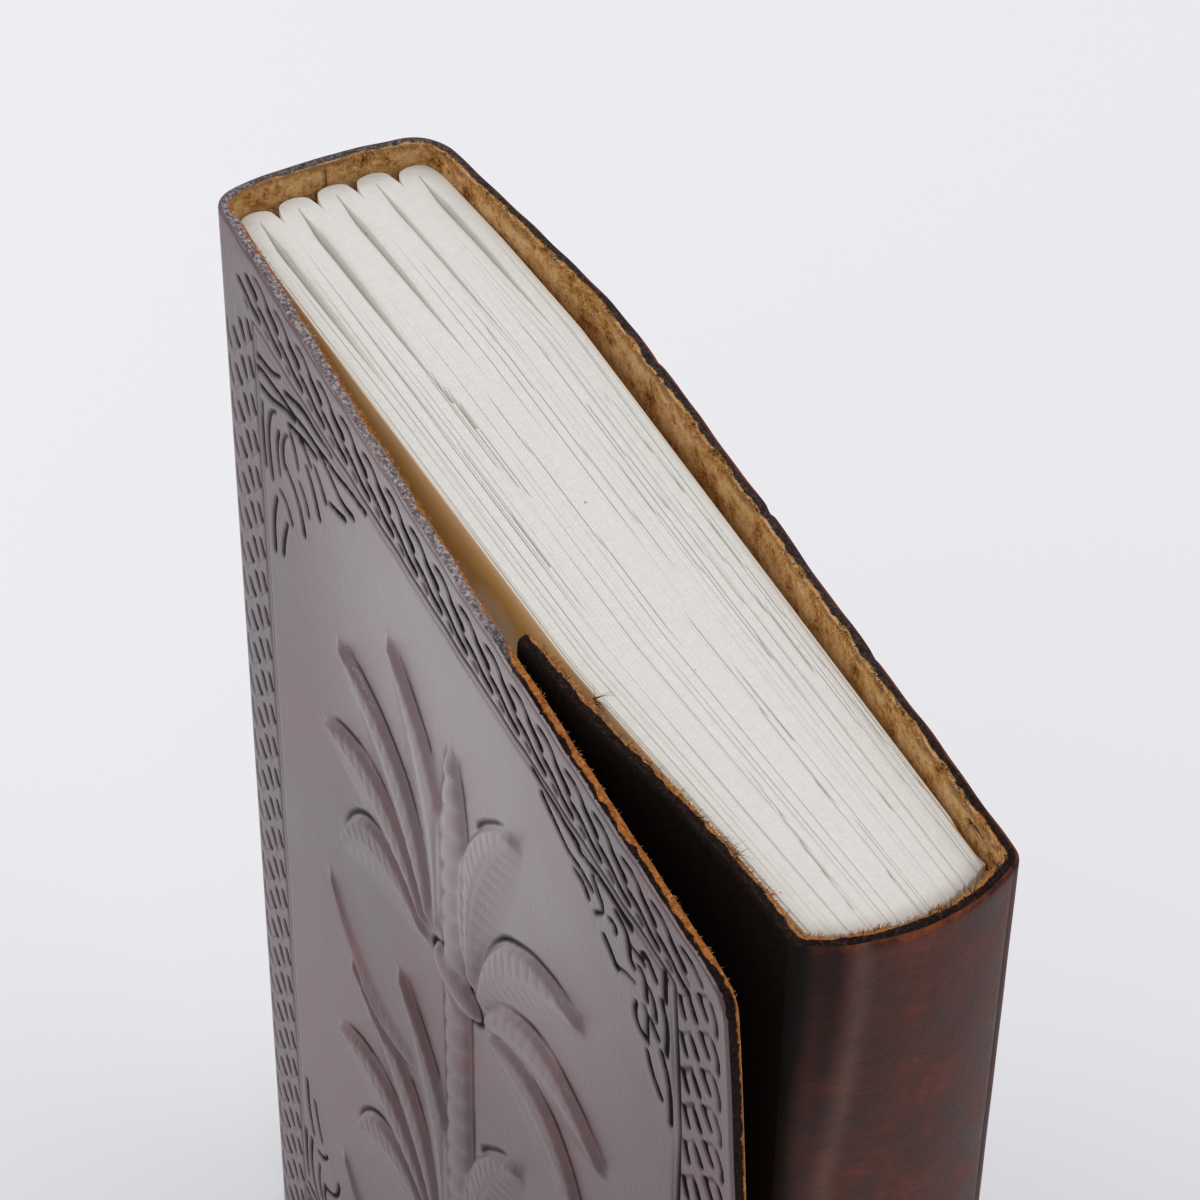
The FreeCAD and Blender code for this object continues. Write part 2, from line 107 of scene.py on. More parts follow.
# Seamless matt paper sweep: an even pale grey that keeps the notebook's soft shadow.
sweep = bpy.data.materials.new("matt_paper_sweep")
sweep.use_nodes = True
shader = sweep.node_tree.nodes["Principled BSDF"]
shader.inputs["Base Color"].default_value = linear("#ebebee")
shader.inputs["Roughness"].default_value = 0.9
shader.inputs["Specular IOR Level"].default_value = 0.1
floor = add_object("floor", bpy.data.meshes.new("floor"))
floor_corners = [(x * FLOOR_HALF, y * FLOOR_HALF, 0) for x, y in ((-1, -1), (1, -1), (1, 1), (-1, 1))]
floor.data.from_pydata(floor_corners, [], [(0, 1, 2, 3)])
floor.data.materials.append(sweep)
floor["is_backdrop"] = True

world = bpy.data.worlds.new("daylight")
bpy.context.scene.world = world
world.use_nodes = True
world.node_tree.nodes["Background"].inputs["Color"].default_value = linear("#f3f3f5")
world.node_tree.nodes["Background"].inputs["Strength"].default_value = 0.85
for name, spot, size, watts in (("window", (-0.9, -0.9, 1.5), 1.2, 10), ("fill", (0.9, 1.0, 1.6), 1.4, 5)):
    lamp = add_object(name, bpy.data.lights.new(name, "AREA"))
    lamp.data.size = size
    lamp.data.energy = watts
    lamp.location = spot
    lamp.rotation_euler = (Vector(spot) - Vector((0, 0, 0.1))).to_track_quat("Z", "Y").to_euler()
bpy.context.scene.view_settings.view_transform = "Standard"

# ---- the hide: plan ----
# One side of dyed cowhide, 1.8 mm thick, cut by hand and folded round the pages:
# front cover, spine, back cover, fore-edge wall and the flap that tucks under the front cover.
LEATHER = 1.8
HEIGHT = 184.0
FRONT = 134.0                    # front cover, spine corner to free edge
LEAN = math.radians(3.0)         # the closed cover stands off the pages by this
SPINE = 28.3
BACK = 131.0
FORE_BACK_Y = 27.85              # the folds of the fore-edge wall
FORE_FRONT_Y = FORE_BACK_Y - 25.9
FOLD_RADIUS = 4.2                # the front fold, which is the hinge
PLAN_STEP = 0.25                 # between the columns of the embossed mesh
corner_x = front_high.x / MM - FRONT * math.cos(LEAN) - LEATHER * math.sin(LEAN)
corner_y = front_low.y / MM + FRONT * math.sin(LEAN)
tip_x = BACK - 49.6
tip_y = -tip_x * math.tan(LEAN) + LEATHER / math.cos(LEAN) + 0.35
hide_plan = [                    # corner point and the radius of its bend
    (FRONT * math.cos(LEAN), -FRONT * math.sin(LEAN), 0),
    (0, 0, FOLD_RADIUS), (-0.7, SPINE / 2, 80), (0.8, SPINE, 6), (40, 32.6, 160),
    (BACK, FORE_BACK_Y, 2.6), (BACK + 6.6, (FORE_BACK_Y + FORE_FRONT_Y) / 2, 24),
    (BACK, FORE_FRONT_Y, 2.4), (BACK - 15.5, FORE_FRONT_Y - 0.25, 140),
    (tip_x + 12.6, tip_y + 0.7, 140), (tip_x, tip_y, 0)]


def follow(corners, step):
    """Points and outward normals along straight runs and round bends, about one step apart."""
    points, normals = [], []
    start = np.array(corners[0][:2], float)
    for i in range(1, len(corners)):
        at = np.array(corners[i][:2], float)
        into = at - np.array(corners[i - 1][:2])
        into /= np.linalg.norm(into)
        reach, angle = 0, 0
        if i < len(corners) - 1:
            out = np.array(corners[i + 1][:2]) - at
            out /= np.linalg.norm(out)
            angle = math.atan2(into[0] * out[1] - into[1] * out[0], into @ out)
            reach = corners[i][2] * math.tan(abs(angle) / 2)
        end = at - into * reach
        count = max(1, round(np.linalg.norm(end - start) / step))
        for k in range(count):
            points.append(start + (end - start) * k / count)
            normals.append((-into[1], into[0]))
        start = end
        if reach:
            radius = corners[i][2]
            turn = math.copysign(1, angle)
            inward = np.array((-into[1], into[0])) * turn
            centre = end + inward * radius
            count = max(8, round(abs(angle) * radius / step))
            for k in range(count):
                c, d = math.cos(angle * k / count), math.sin(angle * k / count)
                ray = np.array((d * inward[1] - c * inward[0], -d * inward[0] - c * inward[1]))
                points.append(centre + ray * radius)
                normals.append(tuple(-ray * turn))
            start = at + out * reach
    points.append(start)
    normals.append(normals[-1])
    return np.array(points), np.array(normals)


plan, plan_normals = follow(hide_plan, PLAN_STEP)
plan_s = np.concatenate([[0], np.cumsum(np.linalg.norm(np.diff(plan, axis=0), axis=1))])
mid_spine = int(np.argmax((plan[:, 0] < 1) & (plan[:, 1] > SPINE / 2)))


def wave(x, lengths, seed):
    """Smooth uneven line: a few sines of the given wavelengths, between about -1 and 1."""
    rng = np.random.default_rng(seed)
    total = sum(np.sin(2 * math.pi * x / (w * rng.uniform(0.85, 1.15)) + rng.uniform(0, 6.28))
                for w in lengths)
    return total / len(lengths)


def rounded(edge, radius):
    """How far a rounded corner lies back, at this distance from its edge."""
    return radius - np.sqrt(np.clip(radius ** 2 - np.clip(radius - edge, 0, None) ** 2, 0, None))


def mark(mesh, label, values):
    """Give each point of a mesh a number or a vector, for its material and its fibres."""
    kind, field = ("FLOAT_VECTOR", "vector") if np.ndim(values) > 1 else ("FLOAT", "value")
    values = np.asarray(values, np.float32).ravel()
    mesh.attributes.new(label, kind, "POINT").data.foreach_set(field, values)


CUT_LOOPS = 6                    # rows of faces across the cut edge
CUT_BULGE, CUT_ROUGH = 0.12, 0.07
GRAIN_ROUND = 0.4                # the knife's pull rounds the grain side over this


def cut_hide(name, span, rows, relief, sag, top, marks, free, every, finishes):
    """Closed mesh of a stretch of hide: columns span of the plan, rows up its height.
    relief raises the grain side and sag moves both; top is each column's height; marks are
    attributes, by column and row or by column alone; free says which ends are cut; every thins
    the flesh side; finishes are the grain's material and the raw leather's."""
    s, points, normals = plan_s[span], plan[span], plan_normals[span]
    n, m = len(s), len(rows)
    tail = 0.3 + 0.1 * wave(s, (31, 11, 5), 5)
    z = rows[None, :] + (top - HEIGHT)[:, None] * np.clip(rows / HEIGHT * 2 - 1, 0, None)[None, :]
    z += tail[:, None] * np.clip(1 - rows / HEIGHT * 2, 0, None)[None, :]
    edge = np.minimum(rows, HEIGHT - rows)[None, :] + np.zeros((n, 1))
    for end, side in zip(free, (s - s[0], s[-1] - s)):
        edge = np.minimum(edge, side[:, None]) if end else edge
    fall = rounded(edge, GRAIN_ROUND)
    outer, inner = np.empty((2, n, m, 3))
    for face, depth in ((outer, relief + sag - fall), (inner, sag - LEATHER + fall * 0.5)):
        face[:, :, 0] = corner_x + points[:, :1] + normals[:, :1] * depth
        face[:, :, 1] = corner_y + points[:, 1:] + normals[:, 1:] * depth
        face[:, :, 2] = z
    ring = ([(i, 0) for i in range(n - 1)] + [(n - 1, j) for j in range(m - 1)]
            + [(i, m - 1) for i in range(n - 1, 0, -1)] + [(0, j) for j in range(m - 1, 0, -1)])
    ri, rj = np.array(ring).T
    count, base = len(ring), n * m
    grid = np.arange(base).reshape(n, m)
    faces = np.stack([grid[:-1, :-1], grid[:-1, 1:], grid[1:, 1:], grid[1:, :-1]], -1)
    faces = faces.reshape(-1, 4).tolist()
    grain_faces = len(faces)
    parts = [(outer.reshape(-1, 3), np.zeros(base), relief.ravel(),
              np.repeat(np.arange(n), m), np.tile(np.arange(m), n))]
    rng = np.random.default_rng(11)
    previous = grid[ri, rj]
    for k in range(1, CUT_LOOPS + 1):    # the cut edge, a little bulged and rough
        part = k / CUT_LOOPS
        line = outer[ri, rj] * (1 - part) + inner[ri, rj] * part
        rough = rng.uniform(-CUT_ROUGH, CUT_ROUGH, count) * (k < CUT_LOOPS)
        swell = math.sin(math.pi * part) * CUT_BULGE + rough
        line[:, 2] += np.where(rj == 0, -1, np.where(rj == m - 1, 1, 0)) * swell
        parts.append((line, np.full(count, part), np.zeros(count), ri, rj))
        current = base + (k - 1) * count + np.arange(count)
        faces += np.stack([previous, np.roll(previous, -1), np.roll(current, -1), current], -1).tolist()
        previous = current
    known = dict(zip(ring, previous.tolist()))
    new_points = []

    def flesh(i, j):
        if (i, j) not in known:
            known[(i, j)] = base + CUT_LOOPS * count + len(new_points)
            new_points.append((i, j))
        return known[(i, j)]

    ci = sorted(set(range(0, n - 1, every)) | {n - 1})
    cj = sorted(set(range(0, m - 1, every)) | {m - 1})
    for a, b in zip(ci, ci[1:]):         # flesh side: its border cells take in all the edge's points
        for c, d in zip(cj, cj[1:]):
            low = [(i, c) for i in (range(a, b + 1) if c == 0 else (a, b))]
            high = [(i, d) for i in (range(b, a - 1, -1) if d == m - 1 else (b, a))]
            right = [(b, j) for j in range(c + 1, d)] if b == n - 1 else []
            left = [(a, j) for j in range(d - 1, c, -1)] if a == 0 else []
            faces.append([flesh(i, j) for i, j in low + right + high + left])
    fi, fj = np.array(new_points).T
    parts.append((inner[fi, fj], np.ones(len(fi)), np.zeros(len(fi)), fi, fj))
    verts, across, press, column, row = (np.concatenate(values) for values in zip(*parts))
    mesh = bpy.data.meshes.new(name)
    mesh.from_pydata((verts * MM).tolist(), [], faces)
    mark(mesh, "across", across)
    mark(mesh, "press", press)
    for label, values in marks.items():
        mark(mesh, label, values[column, row] if values.ndim == 2 else values[column])
    mesh.shade_smooth()
    for finish in finishes:
        mesh.materials.append(finish)
    mesh.polygons.foreach_set("material_index", (np.arange(len(faces)) >= grain_faces).astype(int))
    seam = np.zeros(len(mesh.vertices), bool)       # no shading across the joint of two stretches
    for end, at in zip(free, (0, n - 1)):
        if not end:
            seam[grid[at]] = True
            seam[[known[(at, j)] for j in range(m)]] = True
    ends = np.empty(len(mesh.edges) * 2, int)
    mesh.edges.foreach_get("vertices", ends)
    layer = mesh.attributes.new("sharp_edge", "BOOLEAN", "EDGE")
    layer.data.foreach_set("value", seam[ends.reshape(-1, 2)].all(1))
    return add_object(name, mesh)


def add(tree, kind, inputs=None, stops=None, **settings):
    """Add a node with its settings. Each input is a value, a socket to link from, or a node,
    whose first live output is linked."""
    made = tree.nodes.new(kind)
    for name, value in settings.items():
        setattr(made, name, value)
    connect(tree, made, inputs or {})
    if stops:
        ramp = made.color_ramp
        while len(ramp.elements) < len(stops):
            ramp.elements.new(1)
        for element, (at, colour) in zip(ramp.elements, stops):
            element.position = at
            element.color = linear(colour)
    return made


def connect(tree, node, inputs):
    """Set or link the inputs of a node."""
    for key, value in inputs.items():
        if isinstance(value, bpy.types.Node):
            value = next(socket for socket in value.outputs if socket.enabled)
        if isinstance(value, bpy.types.NodeSocket):
            tree.links.new(value, node.inputs[key])
        else:
            node.inputs[key].default_value = value


def finish_named(name):
    """New material, with its node tree, its shader and its Object coordinates in metres."""
    made = bpy.data.materials.new(name)
    made.use_nodes = True
    tree = made.node_tree
    return made, tree, tree.nodes["Principled BSDF"], add(tree, "ShaderNodeTexCoord").outputs["Object"]


# Raw vegetable-tanned leather where the hide was cut and on its flesh side: tan, dry and
# fibrous, with the dark dye soaked in from the grain in an uneven line. Its fibres are 0.8 mm
# apart, its blots of dye 4 mm, and its specks 0.5 mm, which is coarser than real ones.
raw_leather, tree, shader, coords = finish_named("raw_cowhide_flesh_and_cut_edge")
across, dye, pale, ochre = (add(tree, "ShaderNodeAttribute", attribute_name=label).outputs["Fac"]
                            for label in ("across", "dye", "pale", "ochre"))
up = add(tree, "ShaderNodeSeparateXYZ", {0: coords}).outputs[2]
from_head = add(tree, "ShaderNodeMath", {0: HEIGHT * MM, 1: up}, operation="SUBTRACT")
rim = add(tree, "ShaderNodeMath", {0: from_head, 1: up}, operation="MINIMUM")
fibre, patch, speck = (
    add(tree, "ShaderNodeTexNoise", {"Vector": coords, "Scale": scale, "Detail": detail,
                                     "Roughness": rough, "Distortion": twist})
    for scale, detail, rough, twist in ((1300, 6, 0.7, 1.5), (260, 5, 0.7, 0), (2200, 4, 0.8, 0)))
mixed = add(tree, "ShaderNodeMix", {0: 0.55, 2: fibre, 3: patch})
flesh_tone = add(tree, "ShaderNodeValToRGB", {0: mixed}, stops=[
    (0.37, "#5c3414"), (0.43, "#a26b32"), (0.51, "#d2a065"), (0.63, "#ebc592")])
soak = add(tree, "ShaderNodeMath", {0: patch, 1: 0.006, 2: -0.0026}, operation="MULTIPLY_ADD")
below = add(tree, "ShaderNodeMath", {0: rim, 1: soak}, operation="SUBTRACT")
clear = add(tree, "ShaderNodeMapRange", {
    "Value": below, "From Min": -0.0004, "From Max": 0.0004, "To Min": 0.3})
near = add(tree, "ShaderNodeMapRange", {
    "Value": rim, "From Min": 0.006, "From Max": 0.02, "To Min": 1.0, "To Max": 0.3})
even = add(tree, "ShaderNodeMix", {0: near, 6: linear("#c39359"), 7: flesh_tone}, data_type="RGBA")
flesh_colour = add(tree, "ShaderNodeMix", {0: clear, 6: linear("#6b3f1a"), 7: even}, data_type="RGBA")
# Where the pale mark is high the cut edge turns a pale grey speckle: partly grey dye, partly a painted
# highlight of the pale room along the rounded edge.
grey_edge_painted_glint = add(tree, "ShaderNodeValToRGB", {0: speck}, stops=[
    (0.3, "#3b2e2c"), (0.48, "#7b6e70"), (0.64, "#cbc3c3")])
edge_new = add(tree, "ShaderNodeValToRGB", {0: speck}, stops=[
    (0.3, "#080403"), (0.52, "#1f130e"), (0.72, "#45291b")])
edge_dark = add(tree, "ShaderNodeMix", {0: pale, 6: edge_new, 7: grey_edge_painted_glint}, data_type="RGBA")
edge_orange = add(tree, "ShaderNodeValToRGB", {0: fibre}, stops=[
    (0.33, "#74401b"), (0.46, "#a8622e"), (0.58, "#bd7840"), (0.7, "#d8a470")])
edge_raw = add(tree, "ShaderNodeMix", {0: ochre, 6: flesh_tone, 7: edge_orange}, data_type="RGBA")
uneven = add(tree, "ShaderNodeMath", {0: patch, 1: 1.4, 2: -0.7}, operation="MULTIPLY_ADD")
reach = add(tree, "ShaderNodeMath", {0: dye, 1: uneven}, operation="ADD")
past = add(tree, "ShaderNodeMath", {0: across, 1: reach}, operation="SUBTRACT")
raw = add(tree, "ShaderNodeMapRange", {"Value": past, "From Min": -0.06, "From Max": 0.06})
edge_colour = add(tree, "ShaderNodeMix", {0: raw, 6: edge_dark, 7: edge_raw}, data_type="RGBA")
is_flesh = add(tree, "ShaderNodeMapRange", {"Value": across, "From Min": 0.93, "From Max": 0.99})
colour = add(tree, "ShaderNodeMix", {0: is_flesh, 6: edge_colour, 7: flesh_colour}, data_type="RGBA")
fuzz = add(tree, "ShaderNodeMath", {0: fibre, 1: speck}, operation="ADD")
bump = add(tree, "ShaderNodeBump", {"Height": fuzz, "Strength": 0.9, "Distance": 0.0004})
connect(tree, shader, {"Base Color": colour, "Roughness": 0.95, "Specular IOR Level": 0.1,
                       "Normal": bump})

# ---- embossing of the front cover ----
# Pressed with a heated plate: a plaited band all round, knotwork in the corners, and in the
# middle a raised stem with ribbed leaves and tendrils. The grooves took up more of the dye.
BORDER = 9.4                     # frame line from head and tail
BORDER_FREE = 11.4               # frame line from the free edge
BORDER_HINGE = 12.6              # frame line from the spine corner
FRAME_LINES = ((0, 0.55, 0.35), (1.1, 0.45, 0.22))           # inset, width and depth
LONG_PITCH, SIDE_PITCH = 6.5, 5.75                           # one repeat of the plaited band
LIP = 0.07                       # leather pushed up beside a groove
BLADES = 4                       # one fan of leaves
FAN_START, FAN_STEP = 72, 30     # first blade's angle and the next one's, degrees
FAN_LENGTH, FAN_SHORTER, FAN_WIDTH, FAN_CURL, FAN_HEIGHT = 40, 4, 10.5, 4.0, 0.95
FAN_OUT, BLADE_OUT = 4.5, 3      # from the stem's middle to the fan's node, and on to a blade
TENDRIL_ANGLE, TENDRIL_OUT = 12, 6.5
TENDRIL_LENGTH, TENDRIL_WIDTH, TENDRIL_CURL, TENDRIL_HEIGHT = 34, 4.4, 7.0, 0.7
STEM_X = (BORDER_HINGE + FRONT - 9.7) / 2
STEM_END = 26                    # from the tail and from the head
STEM_HALF, STEM_HEIGHT, STRAND_PITCH = 3.3, 0.95, 4.6
NODES = (HEIGHT - 66.0, 62.0)    # heights where the fans spring from the stem
head_rows = np.array([0, 0.05, 0.13, 0.24, 0.38])
rows = np.concatenate([head_rows, np.arange(0.55, HEIGHT - 0.5, 0.25), HEIGHT - head_rows[::-1]])
emboss = np.zeros((mid_spine + 1, len(rows)))
from_spine = FRONT - plan_s[:mid_spine + 1]


def ease(low, high, x):
    """Smooth step from 0 to 1."""
    t = np.clip((x - low) / (high - low), 0, 1)
    return t * t * (3 - 2 * t)


def bell(x, middle, width):
    """Bell-shaped swell from 0 to 1 and back, round middle."""
    return np.exp(-((x - middle) / width) ** 2)


def window(low_x, high_x, low_z, high_z):
    """Slices of the embossing grid round a rectangle, with the coordinates of its points."""
    i = np.searchsorted(-from_spine, [-high_x, -low_x])
    j = np.searchsorted(rows, [low_z, high_z])
    part = (slice(i[0], i[1]), slice(j[0], j[1]))
    return part, from_spine[part[0]][:, None], rows[part[1]][None, :]


def groove(points, width, depth):
    """Press a line through points, its corners rounded; width is its width at the first and
    the last point. Handling has rubbed the pressing shallower towards the spine."""
    points = np.array(points, float)
    for turn in range(2 if len(points) > 2 else 0):
        a, b = points[:-1], points[1:]
        cut = np.stack([a * 0.75 + b * 0.25, a * 0.25 + b * 0.75], 1).reshape(-1, 2)
        points = np.concatenate([points[:1], cut, points[-1:]])
    runs = np.linalg.norm(np.diff(points, axis=0), axis=1)
    total = runs.sum()
    reach = max(width) * 1.6
    low, high = points.min(0) - reach, points.max(0) + reach
    part, x, z = window(low[0], high[0], low[1], high[1])
    if emboss[part].size == 0:
        return
    pressed, lip = np.zeros((2, *emboss[part].shape))
    rubbed = 0.55 + 0.45 * ease(12, 60, x)
    done = 0
    for a, b, run in zip(points, points[1:], runs):
        along = np.clip(((x - a[0]) * (b[0] - a[0]) + (z - a[1]) * (b[1] - a[1])) / run ** 2, 0, 1)
        away = np.hypot(x - a[0] - along * (b[0] - a[0]), z - a[1] - along * (b[1] - a[1]))
        size = width[0] + (width[1] - width[0]) * (done + along * run) / total
        t = away / (size / 2)
        pressed = np.maximum(pressed, depth * (1 - ease(0.5, 1.15, t)) * rubbed)
        lip = np.maximum(lip, LIP * bell(t, 1.7, 0.4))
        done += run
    field = emboss[part]
    raised = np.where(field < 0, field, np.maximum(field, lip))
    emboss[part] = np.where(pressed > 0.02, np.minimum(field, -pressed), raised)


def stamp(strokes, put):
    """Press strokes, each given as its depth, its first and last width and the coordinates of
    its points, which put moves into place."""
    for depth, first, last, *line in strokes:
        groove([put(a, b) for a, b in zip(line[::2], line[1::2])], (first, last), depth)


# one repeat of the plaited band: strokes along it and in from the edge
LONG_BAND = [
    (0.55, 0.85, 1, -0.4, 5.9, 2.1, 6.4, 3.6, 7.2, 6.1, 7.7), (0.6, 1, 1.2, 2.6, 3.5, 5.4, 4.6),
    (0.45, 0.6, 0.65, 5, 2, 6.7, 1.95, 8.1, 2.4, 9.3, 3.3), (0.35, 0.6, 0.6, 1.4, 7.7, 2.6, 8.1),
    (0.25, 0.45, 0.45, 4.6, 5.2, 6.6, 6.2)]
SIDE_BAND = [
    (0.6, 0.9, 0.75, 7, 10.3, 8.9, 9.4), (0.6, 0.75, 0.95, 5, 8, 6.8, 6.9),
    (0.6, 1, 0.75, 2.3, 5.9, 3.9, 4.5), (0.4, 0.6, 0.5, 0.3, 3.4, 1.4, 2.6, 2.6, 2.2, 4.3, 2.5),
    (0.25, 0.45, 0.45, 7.1, 10.7, 3.8, 8), (0.25, 0.45, 0.45, 2.8, 6.6, 0.1, 4)]
for strokes, pitch, run, put in (
        (LONG_BAND, LONG_PITCH, FRONT - 16, lambda a, b: (9 + a, HEIGHT - b)),
        (LONG_BAND, LONG_PITCH, FRONT - 24, lambda a, b: (FRONT - 9 - a, b)),
        (SIDE_BAND, SIDE_PITCH, HEIGHT - 16, lambda a, b: (FRONT - b, HEIGHT - 3.5 - a)),
        (SIDE_BAND, SIDE_PITCH, HEIGHT - 16, lambda a, b: (b + 1.4, 3.5 + a))):
    for k in range(int(run / pitch)):
        stamp(strokes, lambda a, b: put(k * pitch + a, b))
low, high = BORDER, HEIGHT - BORDER
near, far = BORDER_HINGE, FRONT - BORDER_FREE
for inset, width, depth in FRAME_LINES:
    box = [(near + inset, low + inset), (far - inset, low + inset), (far - inset, high - inset),
           (near + inset, high - inset), (near + inset, low + inset)]
    for a, b in zip(box, box[1:]):
        groove([a, b], (width, width), depth)
# corner knotwork: widths and points of its strokes, from the frame's corner inwards and down
KNOT_DEPTH = 0.5
KNOT = [
    (1.1, 0.6, 30.4, 2.4, 27.9, 3.6, 24.3, 4.9), (0.4, 0.9, 32.8, 0.9, 23.2, 1.4, 21.3, 2.3),
    (0.4, 0.8, 24.3, 4.8, 21.5, 5, 18.8, 5.3), (1, 1, 18.4, 3.1, 16.7, 4.9),
    (0.5, 1.1, 23.1, 6.3, 20.7, 6.6, 19.9, 7.5), (0.4, 0.35, 16.4, 5.2, 16.5, 6.7, 18.7, 8.7),
    (0.4, 1, 20.9, 2.3, 16.3, 1.5, 9.8, 1.9), (0.7, 0.9, 13.4, 3, 10.6, 3.3, 10.4, 7.1, 9.4, 7.5),
    (0.5, 0.6, 15.1, 5.8, 13.2, 5.2, 13.6, 6.6), (1.1, 1.1, 16.2, 9.9, 13.6, 11.8),
    (0.35, 0.35, 13.6, 11.8, 11.1, 10.2, 9.1, 9.8), (0.7, 1.1, 7.6, 3.9, 6.3, 2.6, 4.4, 4.1),
    (0.5, 0.5, 9.8, 4.8, 6.8, 4.7), (0.5, 0.9, 8.5, 6.5, 6.9, 6.4, 6.7, 9.9),
    (0.6, 0.8, 6, 7.3, 4.9, 8.3, 4.7, 10.9), (0.9, 0.9, 2.2, 0.8, 2.4, 5.4),
    (0.8, 0.8, 3.2, 6.1, 2.1, 8.8, 2.6, 14), (0.5, 0.8, 7.4, 11.4, 6.7, 11.5, 6.8, 15.4),
    (0.6, 1, 9.1, 12.5, 9.8, 14.6, 8.6, 16.5, 6.8, 16.4), (1.1, 1.1, 5.7, 12.2, 4.4, 13.2),
    (0.9, 0.7, 3.7, 14.7, 2.1, 18.1, 2.1, 24.7), (0.7, 1.1, 7, 18.1, 6.3, 20.5, 4.2, 22.5)]
# the corners beside the hinge were pressed with a longer, looser knot
HINGE_KNOT = [
    (0.9, 0.6, 0.8, 6.3, 2.9, 5.7, 18.1, 3.8, 33.7, 1.8), (1, 0.7, 1.2, 4.3, 5.6, 3.6, 8.4, 2),
    (0.9, 0.5, 9.8, 3.2, 14.2, 1.6, 24, 1.2), (1, 0.6, 1.8, 8.6, 4.6, 8.2, 9.6, 5.9, 12.6, 5.2),
    (0.6, 0.9, 6.4, 8.9, 4.4, 10.3, 3.3, 14.1, 3.3, 17.5, 3.9, 21.2),
    (0.8, 0.6, 6.9, 11.4, 6.1, 13.5, 6, 15.8, 6.5, 18.6),
    (0.5, 0.9, 9.9, 9.6, 8.4, 11.2, 7.7, 13.8, 8.3, 15.9),
    (0.9, 0.7, 10.4, 7.5, 13, 6.6, 15.9, 6, 19.2, 5.4), (1, 0.6, 11, 8.6, 12.2, 10.2, 12.8, 12.4),
    (0.9, 0.6, 13.8, 7, 15.6, 7.4, 17.2, 8.6), (0.8, 1.1, 15.6, 9.8, 17.4, 11.6, 18.9, 14.9),
    (0.6, 1, 18.3, 7.4, 20.1, 8.8, 21.2, 10.4),
    (0.5, 0.9, 19.8, 4, 23.2, 4.8, 26.8, 6.3, 29.8, 5.8),
    (0.6, 0.9, 22.4, 9.6, 24.9, 8.8, 27.2, 8.1),
    (0.7, 1.1, 8.9, 15.6, 11.3, 16.9, 13, 19.1, 13.6, 22),
    (0.7, 0.9, 6.2, 21.1, 8.4, 21.6, 9.7, 23.7), (0.6, 0.9, 12.9, 14.2, 14.6, 15.4, 15.4, 17.6),
    (0.8, 1, 4.9, 23.3, 3.4, 27.6, 3.3, 33.2), (0.5, 0.7, 1.9, 10.6, 1.5, 15.5, 1.8, 21),
    (0.7, 0.9, 8, 25, 6.6, 28.6, 6, 31.6)]
for start_x, way_x, strokes in ((near, 1, HINGE_KNOT), (far, -1, KNOT)):
    for start_z, way_z in ((low, 1), (high, -1)):
        stamp([(KNOT_DEPTH, *stroke) for stroke in strokes],
              lambda p, q: (start_x + way_x * p, start_z + way_z * q))


def raise_leaf(x, y, length, width, angle, curl, height):
    """Raised sickle of a leaf between two arcs: a sharp ridge, one side hollowed and sloping
    down to the ground, the other falling steeply into a pressed line; fine veins on both."""
    reach = length + 8
    part, px, pz = window(x - reach, x + reach, y - reach, y + reach)
    a = ((px - x) * math.cos(angle) + (pz - y) * math.sin(angle)) / length
    b = (pz - y) * math.cos(angle) - (px - x) * math.sin(angle)
    inside = np.clip(a * (1 - a), 0.0005, None) * 4
    half = width / 2 * inside ** 0.7
    v = (b - curl * inside) / half * math.copysign(1, curl)
    ridge = 0.2
    outer_side = 1 - 0.3 * np.clip((v - ridge) / (1 - ridge), 0, 1) ** 2
    inner_side = (1 - np.clip((ridge - v) / (1 + ridge), 0, 1)) ** 1.5
    body = np.where(v > ridge, outer_side, inner_side) * (1 - ease(0.86, 1.04, v))
    veins = np.abs((a * length - np.abs(v - ridge) * 3.0) / 2.6 % 1 - 0.5) * 2
    lines = 0.16 * ease(0.72, 1.0, veins) * ease(0.05, 0.25, np.abs(v - ridge)) * (v < 0.95)
    lines = np.maximum(lines, 0.2 * bell((v - ridge) * half, 0, 0.28))
    shape = height * body - lines * np.clip(body * 2, 0, 1)
    shape = shape * ease(0, 0.07, a) * (1 - ease(0.95, 1, a))
    under = 0.24 * bell((v - 1) * half / 0.5, 0.75, 1) * (v > 0.8)
    under = under * ease(0.04, 0.2, a) * (1 - ease(0.86, 0.98, a))
    live = (a > 0) & (a < 1) & (np.abs(v) < 3)
    field = emboss[part]
    over = np.maximum(field, shape)
    dug = np.where(under > 0.03, np.minimum(over, field * 0.4) - under, over)
    emboss[part] = np.where(live, dug, field)


for way in (-1, 1):
    for node_z in NODES:
        for k in range(BLADES):
            angle = math.radians(FAN_START - FAN_STEP * k)
            angle = angle if way > 0 else math.pi - angle
            raise_leaf(STEM_X + way * FAN_OUT + BLADE_OUT * math.cos(angle),
                       node_z + BLADE_OUT * math.sin(angle), FAN_LENGTH - FAN_SHORTER * k,
                       FAN_WIDTH, angle, way * FAN_CURL, FAN_HEIGHT)
    for tendril_z in (36.0, HEIGHT / 2):
        angle = math.radians(TENDRIL_ANGLE)
        angle = angle if way > 0 else math.pi - angle
        raise_leaf(STEM_X + way * TENDRIL_OUT, tendril_z, TENDRIL_LENGTH, TENDRIL_WIDTH, angle,
                   -way * TENDRIL_CURL, TENDRIL_HEIGHT)
part, px, pz = window(STEM_X - 6, STEM_X + 6, STEM_END, HEIGHT - STEM_END)
ropes = np.abs(((pz - (px - STEM_X) * 0.8) / STRAND_PITCH) % 1 - 0.5) * 2
from_end = np.minimum(pz - STEM_END, HEIGHT - STEM_END - pz)
stem_half = STEM_HALF * np.clip(from_end / 15, 0.02, 1) ** 0.6
body = np.sqrt(np.clip(1 - ((px - STEM_X) / stem_half) ** 2, 0, None))
ends_fade = ease(0, 5, from_end)
